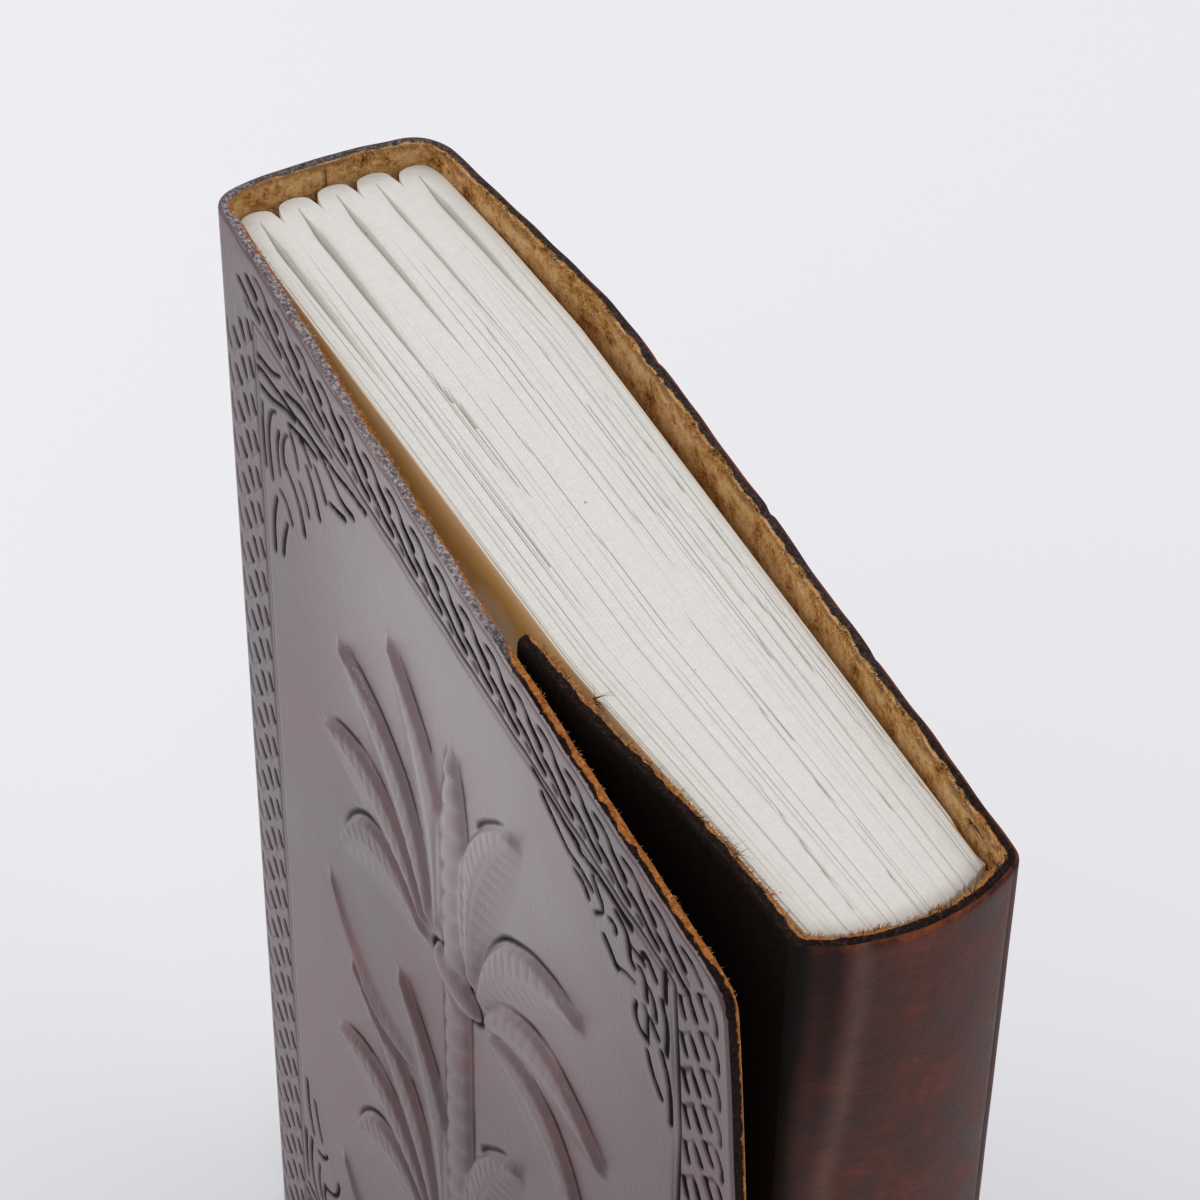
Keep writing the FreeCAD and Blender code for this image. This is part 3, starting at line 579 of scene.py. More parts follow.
stem = STEM_HEIGHT * body * (0.45 + 0.55 * np.sqrt(1 - ropes ** 2 * 0.98)) * ends_fade
ditch = 0.2 * bell(np.abs(px - STEM_X) - stem_half, 0.4, 0.35) * ends_fade
emboss[part] = np.maximum(emboss[part], stem) - ditch
for node_z in NODES:                     # collars where the leaves spring from the stem
    part, px, pz = window(STEM_X - 8, STEM_X + 8, node_z - 6, node_z + 6)
    ball = 1 - ((px - STEM_X) / 6.2) ** 2 - ((pz - node_z) / 2.6) ** 2
    emboss[part] = np.where(ball > 0, np.maximum(emboss[part], 1.25 * np.sqrt(np.clip(ball, 0, 1))),
                            emboss[part] - 0.35 * bell(ball, 0, 0.35))
for turn in range(2):                    # the plate's edges print slightly rounded
    emboss[1:-1] = (emboss[:-2] + 2 * emboss[1:-1] + emboss[2:]) / 4
    emboss[:, 1:-1] = (emboss[:, :-2] + 2 * emboss[:, 1:-1] + emboss[:, 2:]) / 4

# ---- front cover and front fold ----
# The embossed half of the hide, glazed dark brown. It hinges along the front fold, so this
# piece bends there between the cover and the sewn book, and ends in the middle of the spine.
FREE_CORNER = 3                  # rounding of the corners at the free edge
HEAD_CORNER_SETTLE = 2.05        # the head's free corner leans in by this
KEPT_FACES = 0.2                 # share of the embossed mesh's faces that is kept
POLISH_X, POLISH_Z = 70.0, 161.0     # where fingers rub most, and the middle of the painted sheen
cover_span = np.arange(mid_spine + 1)
s = plan_s[cover_span]
share = np.clip((FRONT - s) / FRONT, 0, 1)
settle = (HEAD_CORNER_SETTLE * np.clip((HEIGHT - rows) / 33, 0, 1) ** 0.9
          * (0.65 + 0.35 * ease(0, 40, rows)))
cover_sag = 0.4 * np.sin(math.pi * share)[:, None] - settle[None, :] * (share ** 1.5)[:, None]
cover_top = (HEIGHT - rounded(s, FREE_CORNER)
             + 0.22 * wave(s, (37, 13, 6), 8) * ease(0, 12, s[-1] - s) - 0.15)
relief = emboss + (0.05 * wave(s, (23, 14), 2) * share)[:, None] * wave(rows, (31, 17), 3)[None, :]
smears = 0.35 * bell(s, 21.5, 0.8) + 0.2 * bell(s, 27.6, 0.7)
cover_marks = {"dye": (0.37 + 0.43 * ease(50, 53, s) + smears
                       + 0.45 * (1 - ease(3, 5.5, s)) + 0.08 * wave(s, (9, 4, 2), 21)),
               "pale": ease(46, 60, s) - 0.6 * ease(FRONT - 10, s[-1], s),
               "ochre": 1 - ease(FRONT, s[-1], s), "plain": ease(FRONT - 1, FRONT + 9, s)}


def rubbed_dye(tree, coords):
    """Reddish brown dye rubbed on unevenly: its colour, its roughness and its 8 mm clouds."""
    along = add(tree, "ShaderNodeMapping", {"Vector": coords, "Scale": (1, 1, 1.4)})
    clouds = add(tree, "ShaderNodeTexNoise", {
        "Vector": along, "Scale": 120, "Detail": 11, "Roughness": 0.82}).outputs["Fac"]
    down = add(tree, "ShaderNodeMapping", {"Vector": coords, "Scale": (6, 6, 1)})
    handling = add(tree, "ShaderNodeTexNoise", {
        "Vector": down, "Scale": 28, "Detail": 4, "Roughness": 0.55})
    both = add(tree, "ShaderNodeMix", {0: 0.25, 2: clouds, 3: handling})
    brown = add(tree, "ShaderNodeValToRGB", {0: both}, stops=[
        (0.36, "#24100a"), (0.46, "#3b1a12"), (0.53, "#482017"), (0.64, "#6a3020")])
    satin = add(tree, "ShaderNodeMapRange", {
        "Value": both, "From Min": 0.35, "From Max": 0.65, "To Min": 0.34, "To Max": 0.58})
    return brown, satin, clouds


# Glazed, antiqued cowhide: a deep brown aniline dye, darker in the grooves, under a thin
# polished finish that mirrors the pale room softly at low angles, most where fingers rub it
# below the head, where a paler sheen is also painted into its colour. Its pebbles are 0.4 mm
# and its pores 0.7 mm apart, two or three times the real ones, to show. Over the spine it
# turns into the plain waxed side.
glazed, tree, shader, coords = finish_named("glazed_embossed_cowhide")
press, plain = (add(tree, "ShaderNodeAttribute", attribute_name=label).outputs["Fac"]
                for label in ("press", "plain"))
cloud = add(tree, "ShaderNodeTexNoise", {"Vector": coords, "Scale": 45, "Detail": 6, "Roughness": 0.6})
tone = add(tree, "ShaderNodeValToRGB", {0: cloud}, stops=[
    (0.3, "#331c20"), (0.5, "#442428"), (0.7, "#593033")])
flat = add(tree, "ShaderNodeMapRange", {"Value": press, "From Min": -0.2, "From Max": -0.03})
polish_and_sheen_centre = Vector((corner_x + POLISH_X, corner_y, POLISH_Z)) * MM
from_polish_and_sheen_centre = add(tree, "ShaderNodeVectorMath", {0: coords, 1: polish_and_sheen_centre}, operation="DISTANCE")
polish_and_sheen = add(tree, "ShaderNodeMapRange", {
    "Value": from_polish_and_sheen_centre.outputs["Value"], "From Min": 0.005, "From Max": 0.06,
    "To Min": 1.0, "To Max": 0.5}, interpolation_type="SMOOTHSTEP")
# Painted sheen: round that place the colour is mixed up to half way towards a pale grey-mauve, standing in
# for the brighter soft reflection there.
painted_sheen_mask = add(tree, "ShaderNodeMapRange", {"Value": polish_and_sheen, "From Min": 0.5, "To Max": 0.5})
painted_sheen_colour = add(tree, "ShaderNodeMix", {0: painted_sheen_mask, 6: tone, 7: linear("#6e575d")}, data_type="RGBA")
colour = add(tree, "ShaderNodeMix", {0: flat, 6: linear("#0a0504"), 7: painted_sheen_colour}, data_type="RGBA")
brown, waxy = rubbed_dye(tree, coords)[:2]
joined = add(tree, "ShaderNodeMix", {0: plain, 6: colour, 7: brown}, data_type="RGBA")
satin = add(tree, "ShaderNodeMapRange", {
    "Value": cloud, "From Min": 0.3, "From Max": 0.7, "To Min": 0.36, "To Max": 0.48})
pressed = add(tree, "ShaderNodeMix", {0: flat, 2: 0.95, 3: satin})
rough = add(tree, "ShaderNodeMix", {0: plain, 2: pressed, 3: waxy})
coat = add(tree, "ShaderNodeMath", {0: flat, 1: polish_and_sheen}, operation="MULTIPLY")
glaze = add(tree, "ShaderNodeMix", {0: plain, 2: coat, 3: 0.0})
pebble = add(tree, "ShaderNodeTexVoronoi", {"Vector": coords, "Scale": 2600}, feature="SMOOTH_F1")
pores = add(tree, "ShaderNodeTexNoise", {"Vector": coords, "Scale": 1400, "Detail": 4})
grain = add(tree, "ShaderNodeMath", {0: pebble, 1: pores}, operation="ADD")
bump = add(tree, "ShaderNodeBump", {"Height": grain, "Strength": 0.45, "Distance": 0.00007})
connect(tree, shader, {"Base Color": joined, "Roughness": rough, "Specular IOR Level": 0.2,
                       "Coat Weight": glaze, "Coat Roughness": 0.26, "Coat IOR": 1.85,
                       "Normal": bump, "Coat Normal": bump})


def settle_mesh(holder):
    """Make what an object's modifiers give its own plain mesh."""
    graph = bpy.context.evaluated_depsgraph_get()
    made = bpy.data.meshes.new_from_object(holder.evaluated_get(graph))
    holder.modifiers.clear()
    holder.data = made


cover = cut_hide("embossed_cover", cover_span, rows, relief, cover_sag, cover_top, cover_marks,
                 (True, False), 8, (glazed, raw_leather))
full = add_object("full", cover.data.copy())
thin = cover.modifiers.new("thin", "DECIMATE")
thin.ratio = KEPT_FACES
shading = cover.modifiers.new("shading", "DATA_TRANSFER")    # the fine mesh still gives the shading
shading.object = full
shading.use_loop_data = True
shading.data_types_loops = {"CUSTOM_NORMAL"}
shading.loop_mapping = "POLYINTERP_NEAREST"
settle_mesh(cover)
bpy.data.objects.remove(full)
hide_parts("front_cover")
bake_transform(cover)

# ---- back half of the hide ----
# The rest of the same hide: spine, back cover, fore-edge wall and tuck flap, not embossed.
# Its rims were cut by hand, with small nicks, and a crease runs down beside the back fold.
FLAP = 50                        # tuck flap, from its fold to its tip
CREASE = 25.4                    # before the flap's fold
STREAK = 6.5                     # the soft fold beside the flap, with its painted highlight, before its start at the head
NICKS = ((74, 0.5), (98, 0.25), (47, 0.25))      # along the back rim: place and depth
LAP_COLUMNS = 6                  # plan columns by which this stretch laps over the cover's end
wrap_span = np.append(np.arange(mid_spine - LAP_COLUMNS, len(plan) - 1, 2), len(plan) - 1)
s = plan_s[wrap_span]
wrap_rows = np.concatenate([head_rows, np.arange(1.0, HEIGHT - 0.9, 1.5), HEIGHT - head_rows[::-1]])
below_head = HEIGHT - wrap_rows
spine_end = plan_s[mid_spine] + SPINE / 2
flap_start = s[-1] - FLAP
crease = flap_start - CREASE
tuck = ease(s[-1] - 46, s[-1], s) * (tip_x / FRONT) ** 1.5
on_back = ease(spine_end + 6, spine_end + 36, s) * (1 - ease(s[-1] - 100, s[-1] - 85, s))
sway = 0.12 * wave(s, (34, 19), 31) * on_back
lap = np.interp(s - s[0], [0, 0.5, 1.5, 3], [-0.03, 0.02, 0.02, 0])
wrap_sag = (tuck[:, None] * np.interp(wrap_rows, rows, settle)[None, :]
            + sway[:, None] * ease(HEIGHT - 40, HEIGHT, wrap_rows)[None, :])
wrap_sag += lap[:, None]
drift = np.interp(below_head, [0, 8, 26, 35, 70, 120, 184], [0, 0.1, 1.4, 2.5, 3.2, 1.6, 2.4])
past_streak = s[:, None] - (flap_start - STREAK + drift[None, :])
relief = ((0.08 * wave(s, (17, 9), 12) * ease(0, 20, s - s[0]))[:, None]
          * wave(wrap_rows, (29, 13), 13)[None, :])
relief = relief - 0.3 * bell(s, crease, 0.4)[:, None] * ease(0, 8, below_head)[None, :]
relief = relief + 0.12 * bell(past_streak, 0, 1.1) * ease(0, 4, below_head)[None, :]
nicks = sum(bell(s - spine_end, at, 0.7) * deep for at, deep in NICKS)
wrap_top = HEIGHT + 0.16 * wave(s, (41, 17, 7), 9) * ease(0, 12, s - s[0]) - 0.15 - nicks
# Painted shade: a dark line down the crease, the fold into the flap darkened, and the wall between the
# streak and that fold darkened, most near the head, where the front cover shades it.
fold_and_crease_shade = 0.6 * bell(s, crease, 0.3) + 0.6 * ease(flap_start - 2, flap_start + 0.8, s)
shadowed = 0.3 + 0.45 * ease(HEIGHT - 30, HEIGHT - 8, wrap_rows)
wrap_marks = {"dye": (0.8 - 0.15 * ease(spine_end - 8, spine_end + 8, s)
                      + 0.1 * ease(flap_start - 32, flap_start - 22, s) + 0.08 * wave(s, (9, 4, 2), 21)),
              "pale": (0.4 - 0.28 * ease(spine_end - 8, spine_end + 12, s)
                       - 0.1 * ease(spine_end + 90, spine_end + 125, s)),
              "ochre": 0.65 * ease(spine_end + 110, spine_end + 135, s),
              "painted_wall_shade": shadowed[None, :] * ease(0.7, 2.6, past_streak) + fold_and_crease_shade[:, None],
              "wall_highlight_paint": 0.7 * bell(past_streak, 0, 0.9)}

# The same cowhide left plain: reddish brown dye rubbed on unevenly along the hide, waxed
# rather than glazed, so it stays darker and mirrors less than the embossed cover. Its grain
# was not pressed and is larger, 0.5 mm.
waxed, tree, shader, coords = finish_named("waxed_brown_cowhide")
painted_wall_shade, wall_highlight_paint = (add(tree, "ShaderNodeAttribute", attribute_name=label).outputs["Fac"]
               for label in ("painted_wall_shade", "wall_highlight_paint"))
brown, satin, clouds = rubbed_dye(tree, coords)
up = add(tree, "ShaderNodeSeparateXYZ", {0: coords}).outputs[2]
rim = add(tree, "ShaderNodeMapRange", {
    "Value": up, "From Min": (HEIGHT - 0.9) * MM, "From Max": (HEIGHT - 0.3) * MM})
patchy = add(tree, "ShaderNodeMapRange", {"Value": clouds, "From Min": 0.45, "From Max": 0.62})
rim_wear = add(tree, "ShaderNodeMath", {0: rim, 1: patchy}, operation="MULTIPLY")
worn = add(tree, "ShaderNodeMix", {0: rim_wear, 6: brown, 7: linear("#7a3c1c")}, data_type="RGBA")
# Painted highlight: a pale grey-brown streak down the soft fold beside the flap.
painted_wall_streak = add(tree, "ShaderNodeMath", {0: wall_highlight_paint, 1: clouds}, operation="MULTIPLY")
rubbed = add(tree, "ShaderNodeMix", {0: painted_wall_streak, 6: worn, 7: linear("#6f5048")}, data_type="RGBA")
# Painted shade: the colour goes near black where the painted wall shade is high.
colour = add(tree, "ShaderNodeMix", {0: painted_wall_shade, 6: rubbed, 7: linear("#0a0403")}, data_type="RGBA")
dull = add(tree, "ShaderNodeMath", {0: painted_wall_shade, 1: rim}, operation="MAXIMUM")
rough = add(tree, "ShaderNodeMix", {0: dull, 2: satin, 3: 0.85})
pebble = add(tree, "ShaderNodeTexVoronoi", {"Vector": coords, "Scale": 1900}, feature="SMOOTH_F1")
pores = add(tree, "ShaderNodeTexNoise", {"Vector": coords, "Scale": 1400, "Detail": 5})
grain = add(tree, "ShaderNodeMath", {0: pebble, 1: pores}, operation="ADD")
bump = add(tree, "ShaderNodeBump", {"Height": grain, "Strength": 0.5, "Distance": 0.00007})
connect(tree, shader, {"Base Color": colour, "Roughness": rough, "Specular IOR Level": 0.2,
                       "Normal": bump})

# On the tuck flap the dye is painted matt and almost black: painted shade for the deep shade between the
# flap and the front cover.
painted_shade_flap_finish, tree, shader, coords = finish_named("painted_shade_black_flap_cowhide")
pores = add(tree, "ShaderNodeTexNoise", {"Vector": coords, "Scale": 1400, "Detail": 5})
tone = add(tree, "ShaderNodeValToRGB", {0: pores}, stops=[(0.35, "#080403"), (0.65, "#160b08")])
bump = add(tree, "ShaderNodeBump", {"Height": pores, "Strength": 0.5, "Distance": 0.00007})
connect(tree, shader, {"Base Color": tone, "Roughness": 0.9, "Specular IOR Level": 0.1,
                       "Normal": bump})

wrap = cut_hide("hide_wrap", wrap_span, wrap_rows, relief, wrap_sag, wrap_top, wrap_marks,
                (False, True), 2, (waxed, raw_leather, painted_shade_flap_finish))
# The flap's faces take the near-black painted shade.
column_faces = len(wrap_rows) - 1
flap_from = int(np.searchsorted(s, flap_start + 0.8)) * column_faces
for face in wrap.data.polygons[flap_from:(len(s) - 1) * column_faces]:
    face.material_index = 2
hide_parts("cover_wrap")
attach(wrap, "bound_pages")

# ---- fuzz of the cut rims ----
# The knife left short curled fibres along the inner rim of the hide, thickest on the flap and
# the fore-edge, and dyed ones along the line that the dye reached. They are drawn 0.08 to
# 0.16 mm thick at the root, coarser than real ones, to show.
FIBRE_TIP = 0.004
FIBRE_CURL = 900.0               # sideways bend, for the square of the height
TUFT_HALF = 0.6                  # half-width of a dyed tuft
TUFTS = ((124.6, 25.9, -1), (117.7, 2.6, 1), (93.0, 0.9, 1), (67.8, 30.1, -1), (103, 28.2, -1))


def recipe(name, wanted, result):
    """Geometry Nodes tree with these named inputs and one result: the tree, the identifiers
    of its inputs by name, and the sockets that they arrive at."""
    tree = bpy.data.node_groups.new(name, "GeometryNodeTree")
    face = tree.interface
    keys = {label: face.new_socket(label, in_out="INPUT", socket_type="NodeSocket" + kind).identifier
            for label, kind in wanted.items()}
    face.new_socket(result, in_out="OUTPUT", socket_type="NodeSocketGeometry")
    return tree, keys, add(tree, "NodeGroupInput").outputs


def grow(holder, tree, keys, values, finish):
    """Run a recipe on an object and leave the plain mesh that it makes, in one material."""
    maker = holder.modifiers.new(tree.name, "NODES")
    maker.node_group = tree
    for label, value in values.items():
        maker[keys[label]] = value
    settle_mesh(holder)
    holder.data.materials.clear()
    holder.data.materials.append(finish)


fringe, fringe_keys, given = recipe("fringe_along_rim", {
    "Rim line": "Geometry", "Spacing": "Float", "Fibre length": "Float", "Fibre width": "Float",
    "Seed": "Int", "Fibre": "Material"}, "Fringe")
line = add(fringe, "GeometryNodeMeshToCurve", {"Mesh": given["Rim line"]})
spots = add(fringe, "GeometryNodeResampleCurve", {"Curve": line, "Length": given["Spacing"]}, mode="LENGTH")
fuzzy = add(fringe, "GeometryNodeInputNamedAttribute", {"Name": "fuzz"}, data_type="FLOAT")
lean = add(fringe, "GeometryNodeInputNamedAttribute", {"Name": "lean"}, data_type="FLOAT_VECTOR")
chance = add(fringe, "FunctionNodeRandomValue", {8: given["Seed"]}, data_type="FLOAT")
grows = add(fringe, "FunctionNodeCompare", {0: chance, 1: fuzzy}, operation="LESS_THAN")
stray, size = (
    add(fringe, "FunctionNodeRandomValue", {0: least, 1: most, 8: given["Seed"]},
        data_type="FLOAT_VECTOR")
    for least, most in (((-1.3, -1.3, -0.6), (1.3, 1.3, 0.9)), ((0.7, 0.7, 0.25), (1.3, 1.3, 1.0))))
aim = add(fringe, "ShaderNodeVectorMath", {0: lean, 1: stray}, operation="ADD")
turned = add(fringe, "FunctionNodeAlignRotationToVector", {"Vector": aim}, axis="Z")
strand = add(fringe, "GeometryNodeMeshCone", {
    "Vertices": 4, "Side Segments": 3, "Radius Top": FIBRE_TIP * MM,
    "Radius Bottom": given["Fibre width"], "Depth": given["Fibre length"]})
spot = add(fringe, "GeometryNodeInputPosition")
rise = add(fringe, "ShaderNodeSeparateXYZ", {0: spot}).outputs[2]
square = add(fringe, "ShaderNodeMath", {0: rise, 1: rise}, operation="MULTIPLY")
curl = add(fringe, "ShaderNodeMath", {0: square, 1: FIBRE_CURL}, operation="MULTIPLY")
bend = add(fringe, "ShaderNodeCombineXYZ", {0: curl})
bent = add(fringe, "GeometryNodeSetPosition", {"Geometry": strand, "Offset": bend})
strands = add(fringe, "GeometryNodeInstanceOnPoints", {
    "Points": spots, "Selection": grows, "Instance": bent, "Rotation": turned, "Scale": size})
real = add(fringe, "GeometryNodeRealizeInstances", {"Geometry": strands})
coated = add(fringe, "GeometryNodeSetMaterial", {"Geometry": real, "Material": given["Fibre"]})
add(fringe, "NodeGroupOutput", {0: coated})


def fibre_finish(name, stops):
    """Loose collagen fibres of tanned hide, dry and matt, mottled over 0.7 mm."""
    made, tree, shader, coords = finish_named(name)
    mottle = add(tree, "ShaderNodeTexNoise", {"Vector": coords, "Scale": 1500, "Detail": 3})
    tone = add(tree, "ShaderNodeValToRGB", {0: mottle}, stops=stops)
    bump = add(tree, "ShaderNodeBump", {"Height": mottle, "Strength": 0.3, "Distance": 0.00005})
    connect(tree, shader, {"Base Color": tone, "Roughness": 0.9, "Normal": bump})
    return made


tan_fibre = fibre_finish("loose_tan_hide_fibre", [(0.35, "#6b3f1c"), (0.5, "#b07a42"), (0.65, "#d6ac75")])
dark_fibre = fibre_finish("loose_dyed_hide_fibre", [(0.35, "#1d110c"), (0.65, "#4a3020")])


def rim_line(span, sag, top, depth=LEATHER - 0.1):
    """Points along a rim, near its inner edge, and the way its fibres lean: in and a little up."""
    line = plan[span] + plan_normals[span] * (sag - depth)[:, None]
    lean = np.column_stack([-plan_normals[span], np.full(len(span), 0.35)])
    return np.column_stack([line, top - 0.12]), lean


on_cover = plan_s[cover_span] < FRONT - 10
cover_rim = rim_line(cover_span[on_cover], cover_sag[on_cover, -1], cover_top[on_cover])
wrap_rim = rim_line(wrap_span, wrap_sag[:, -1], wrap_top)
dyed_rim = rim_line(wrap_span, wrap_sag[:, -1], wrap_top, 1.15)
s = plan_s[cover_span[on_cover]]
cover_fuzz = (0.2 + 0.5 * ease(50, 60, s)) * (0.2 + ease(-0.1, 0.6, wave(s, (7, 3, 1.3), 41)))
s = plan_s[wrap_span]
wrap_fuzz = ((0.25 + 0.75 * ease(spine_end + 125, spine_end + 140, s))
             * (0.15 + ease(0, 0.5, wave(s, (7, 3, 1.3), 42))))
dyed_fuzz = ((1 - 0.7 * ease(flap_start - 30, flap_start, s)) * 0.9
             * ease(-0.15, 0.6, wave(s, (11, 5, 1.9), 43)))
tuft_ends = np.repeat(TUFTS, 2, axis=0)      # each tuft grows from one short line along the rim
tuft_rim = (np.column_stack([tuft_ends[:, 0] + np.tile([-TUFT_HALF, TUFT_HALF], len(TUFTS)),
                             tuft_ends[:, 1], np.full(len(tuft_ends), HEIGHT - 0.25)]),
            np.column_stack([np.zeros(len(tuft_ends)), tuft_ends[:, 2] * 1.2,
                             np.full(len(tuft_ends), 0.1)]))
for name, body, (points, leaning), fuzz, stride, sizes, finish in (
        ("fuzz_of_cover", "front_cover", cover_rim, cover_fuzz, 1, (0.08, 0.4, 0.04), tan_fibre),
        ("fuzz_of_wrap", "bound_pages", wrap_rim, wrap_fuzz, 1, (0.04, 0.85, 0.05), tan_fibre),
        ("dyed_fuzz_of_wrap", "bound_pages", dyed_rim, dyed_fuzz, 1, (0.07, 1.1, 0.08), dark_fibre),
        ("dyed_tufts", "bound_pages", tuft_rim, np.ones(len(tuft_ends)), 2, (0.09, 1.8, 0.065),
         dark_fibre)):
    tuft = add_object(name, bpy.data.meshes.new(name))
    placed = (points + (corner_x, corner_y, 0)) * MM
    tuft.data.from_pydata(placed.tolist(), [(k, k + 1) for k in range(0, len(points) - 1, stride)], [])
    mark(tuft.data, "fuzz", fuzz)
    mark(tuft.data, "lean", leaning)
    apart, length, width = (size * MM for size in sizes)
    grow(tuft, fringe, fringe_keys, {"Spacing": apart, "Fibre length": length, "Fibre width": width,
                                     "Seed": 3, "Fibre": finish}, finish)
    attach(tuft, body)

# ---- sewn pages ----
# Five signatures of folded rag paper, twelve sheets in each, sewn through the spine.
# Every sheet is one thin strip that runs from the fore-edge round its fold and back again.
PAGE_LOW, PAGE_HIGH = 3.0, 181.0
PAGE_FRONT = 1.9                 # front page behind the spine corner
FOLDS = 24.8                     # thickness of the block at its folds
BOW = 3.0                        # the fore-edge is rounded by this
SIGNATURES, SHEETS = 5, 12
FOLD_DEPTH = 1.0                 # round of one sheet's fold
FOLD_ROOM = 1.75                 # the folds of one signature's sheets lie within this
FOLD_SETBACK = (0.55, 0.2, 0.0, 0.15, 1.0)
SLIT = (0.4, 0.46, 0.42, 0.3, 0.44)      # half-width of the valley in the middle of a signature
LEAF_FAULTS = (                  # across the pages, from, to, how deep the leaf lies back there
    (7.6, 52, 74, 1.3), (9.7, 39, 52, 0.8), (10.1, 40, 55, 1.6), (10.5, 43, 57, 1.3),
    (11.2, 108, 131, 0.6), (16.6, 86, 131, 0.6), (17.4, 95, 131, 0.5), (21.3, 60, 131, 0.5),
    (23.0, 40, 90, 0.4), (24.4, 70, 131, 0.5), (19.2, 30, 75, 0.3), (14.1, 45, 85, 0.3),
    (25.6, 50, 131, 0.5))
first_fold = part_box("page_block")[0].x / MM - corner_x
far_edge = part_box("page_block")[1].x / MM - corner_x - BOW
rng = np.random.default_rng(4)
points, edges = [], []
page_marks = {"thick": [], "lift": [], "valley": [], "outside": []}
leg = np.linspace(0, 1, 76) ** 1.4
turns = np.radians(np.linspace(-90, 90, 13)[1:-1])
for g in range(SIGNATURES):
    tip = first_fold + FOLD_SETBACK[g]
    for m in range(SHEETS):
        x_in = tip + FOLD_DEPTH + FOLD_ROOM * m / SHEETS
        legs, spaces = [], []
        for way in (-1, 1):
            leaf = SHEETS + SHEETS - 1 - m if way > 0 else m
            depth = (g * SHEETS * 2 + leaf + 0.5) / (SIGNATURES * SHEETS * 2)
            x_out = far_edge + BOW * (1 - (2 * depth - 1) ** 2) + rng.uniform(-0.15, 0.15)
            x = x_in + (x_out - x_in) * leg
            front = np.interp(x, [0, 85, 130], [PAGE_FRONT, PAGE_FRONT + 0.4, PAGE_FRONT + 3.7])
            back = PAGE_FRONT + np.interp(x, [0, 20, 38, 56, 130], [
                FOLDS, FOLDS + 1.2, FOLDS + 1.75, FOLDS + 1.2, FOLDS - 1.1])
            half = (back - front) / SIGNATURES / 2
            centre = front + half * (2 * g + 1)
            half = half - 0.5 * np.clip(1 - (x - tip - FOLD_DEPTH) / 3.5, 0, 1) ** 2
            opened = x - tip - (FOLD_DEPTH + FOLD_ROOM)
            slit = SLIT[g] * ease(-1.5, 6, opened) * (1 - ease(11, 38, opened))
            hollow = 0.01 + 0.08 * (1 - ease(4, 12, opened)) + slit
            legs.append((x, centre + way * (hollow + (half - hollow) * (1 - (m + 1) / SHEETS))))
            spaces.append((half - hollow) / SHEETS)
        (xa, ya), (xb, yb) = legs
        span = (yb[0] - ya[0]) / 2
        x = np.concatenate([xa[::-1], xa[0] - FOLD_DEPTH * np.cos(turns), xb])
        y = np.concatenate([ya[::-1], (ya[0] + yb[0]) / 2 + span * np.sin(turns), yb])
        space = np.concatenate([spaces[0][::-1], np.full(len(turns), spaces[0][0]), spaces[1]])
        along = np.arange(len(x)) * 1.0
        outermost = (g, m) in ((0, 0), (SIGNATURES - 1, 0))
        chance = rng.random()
        loose = 0.02 if chance > 0.45 or outermost else 0.3 if chance > 0.22 else 0.8
        gap = loose * ((0.45 + 0.55 * wave(along, (61, 23), g * 100 + m)) * ease(4, 30, x))
        low = np.clip(0.35 + wave(along, (47, 90), g * 70 + m), 0, 1) * ease(6, 35, x)
        lift = rng.normal(0, 0.01) - loose * rng.uniform(0.2, 1.1) * low
        in_slit = np.interp(x, legs[1][0], slit)
        lift = lift - 0.4 * (in_slit * ((m + 1) / SHEETS) ** 5)
        for fault_y, x_from, x_to, deep in LEAF_FAULTS:
            here = ease(x_from - 4, x_from + 3, x) * (1 - ease(x_to - 3, x_to + 4, x))
            lift = lift - deep * here * (np.abs(y - fault_y) < space * 0.55)
        outside = np.zeros(len(x))       # the leaf that lies against the hide
        if outermost:
            outside[:len(xa) + 4] = g == 0
            outside[-len(xb) - 4:] = g > 0
        first = len(points)
        points += np.stack([corner_x + x, corner_y + y, np.full(len(x), PAGE_LOW)], -1).tolist()
        edges += [(first + k, first + k + 1) for k in range(len(x) - 1)]
        page_marks["thick"] += (space * (1 - gap) * MM).tolist()
        page_marks["lift"] += (lift * MM).tolist()
        page_marks["valley"] += np.maximum(in_slit * (m == SHEETS - 1), gap).tolist()
        page_marks["outside"] += outside.tolist()
pages = add_object("page_sheets", bpy.data.meshes.new("page_sheets"))
pages.data.from_pydata((np.array(points) * MM).tolist(), edges, [])
for label, values in page_marks.items():
    mark(pages.data, label, values)

# Rag paper: warm white, matt and soft, with a faint cloudiness 1 mm wide, a few tan specks of
# fibre and a slight tooth of 0.5 mm, coarser than real, to show; the trimmed edges are the same
# stock. On the two leaves that lie against the hide a tan is painted along the head, in blots
# 14 mm wide, as painted shade and bounce light from the hide; the sides of the sheets below the
# head get a grey-brown painted shade, most in the gaps and in the valley in the middle of each signature.
paper, tree, shader, coords = finish_named("rag_paper")
outside, valley = (add(tree, "ShaderNodeAttribute", attribute_name=label).outputs["Fac"]
                   for label in ("outside", "valley"))
pulp = add(tree, "ShaderNodeTexNoise", {"Vector": coords, "Scale": 900, "Detail": 7, "Roughness": 0.7})
bits, warm_shade_noise, grit = (add(tree, "ShaderNodeTexNoise", {"Vector": coords, "Scale": scale, "Detail": detail})
                    for scale, detail in ((520, 2), (70, 5), (2200, 4)))
tone = add(tree, "ShaderNodeValToRGB", {0: pulp}, stops=[
    (0.3, "#dfddd8"), (0.5, "#e3e1dc"), (0.7, "#e7e5e1")])
is_bit = add(tree, "ShaderNodeMapRange", {"Value": bits, "From Min": 0.765, "From Max": 0.8})
colour = add(tree, "ShaderNodeMix", {0: is_bit, 6: tone, 7: linear("#b9925f")}, data_type="RGBA")
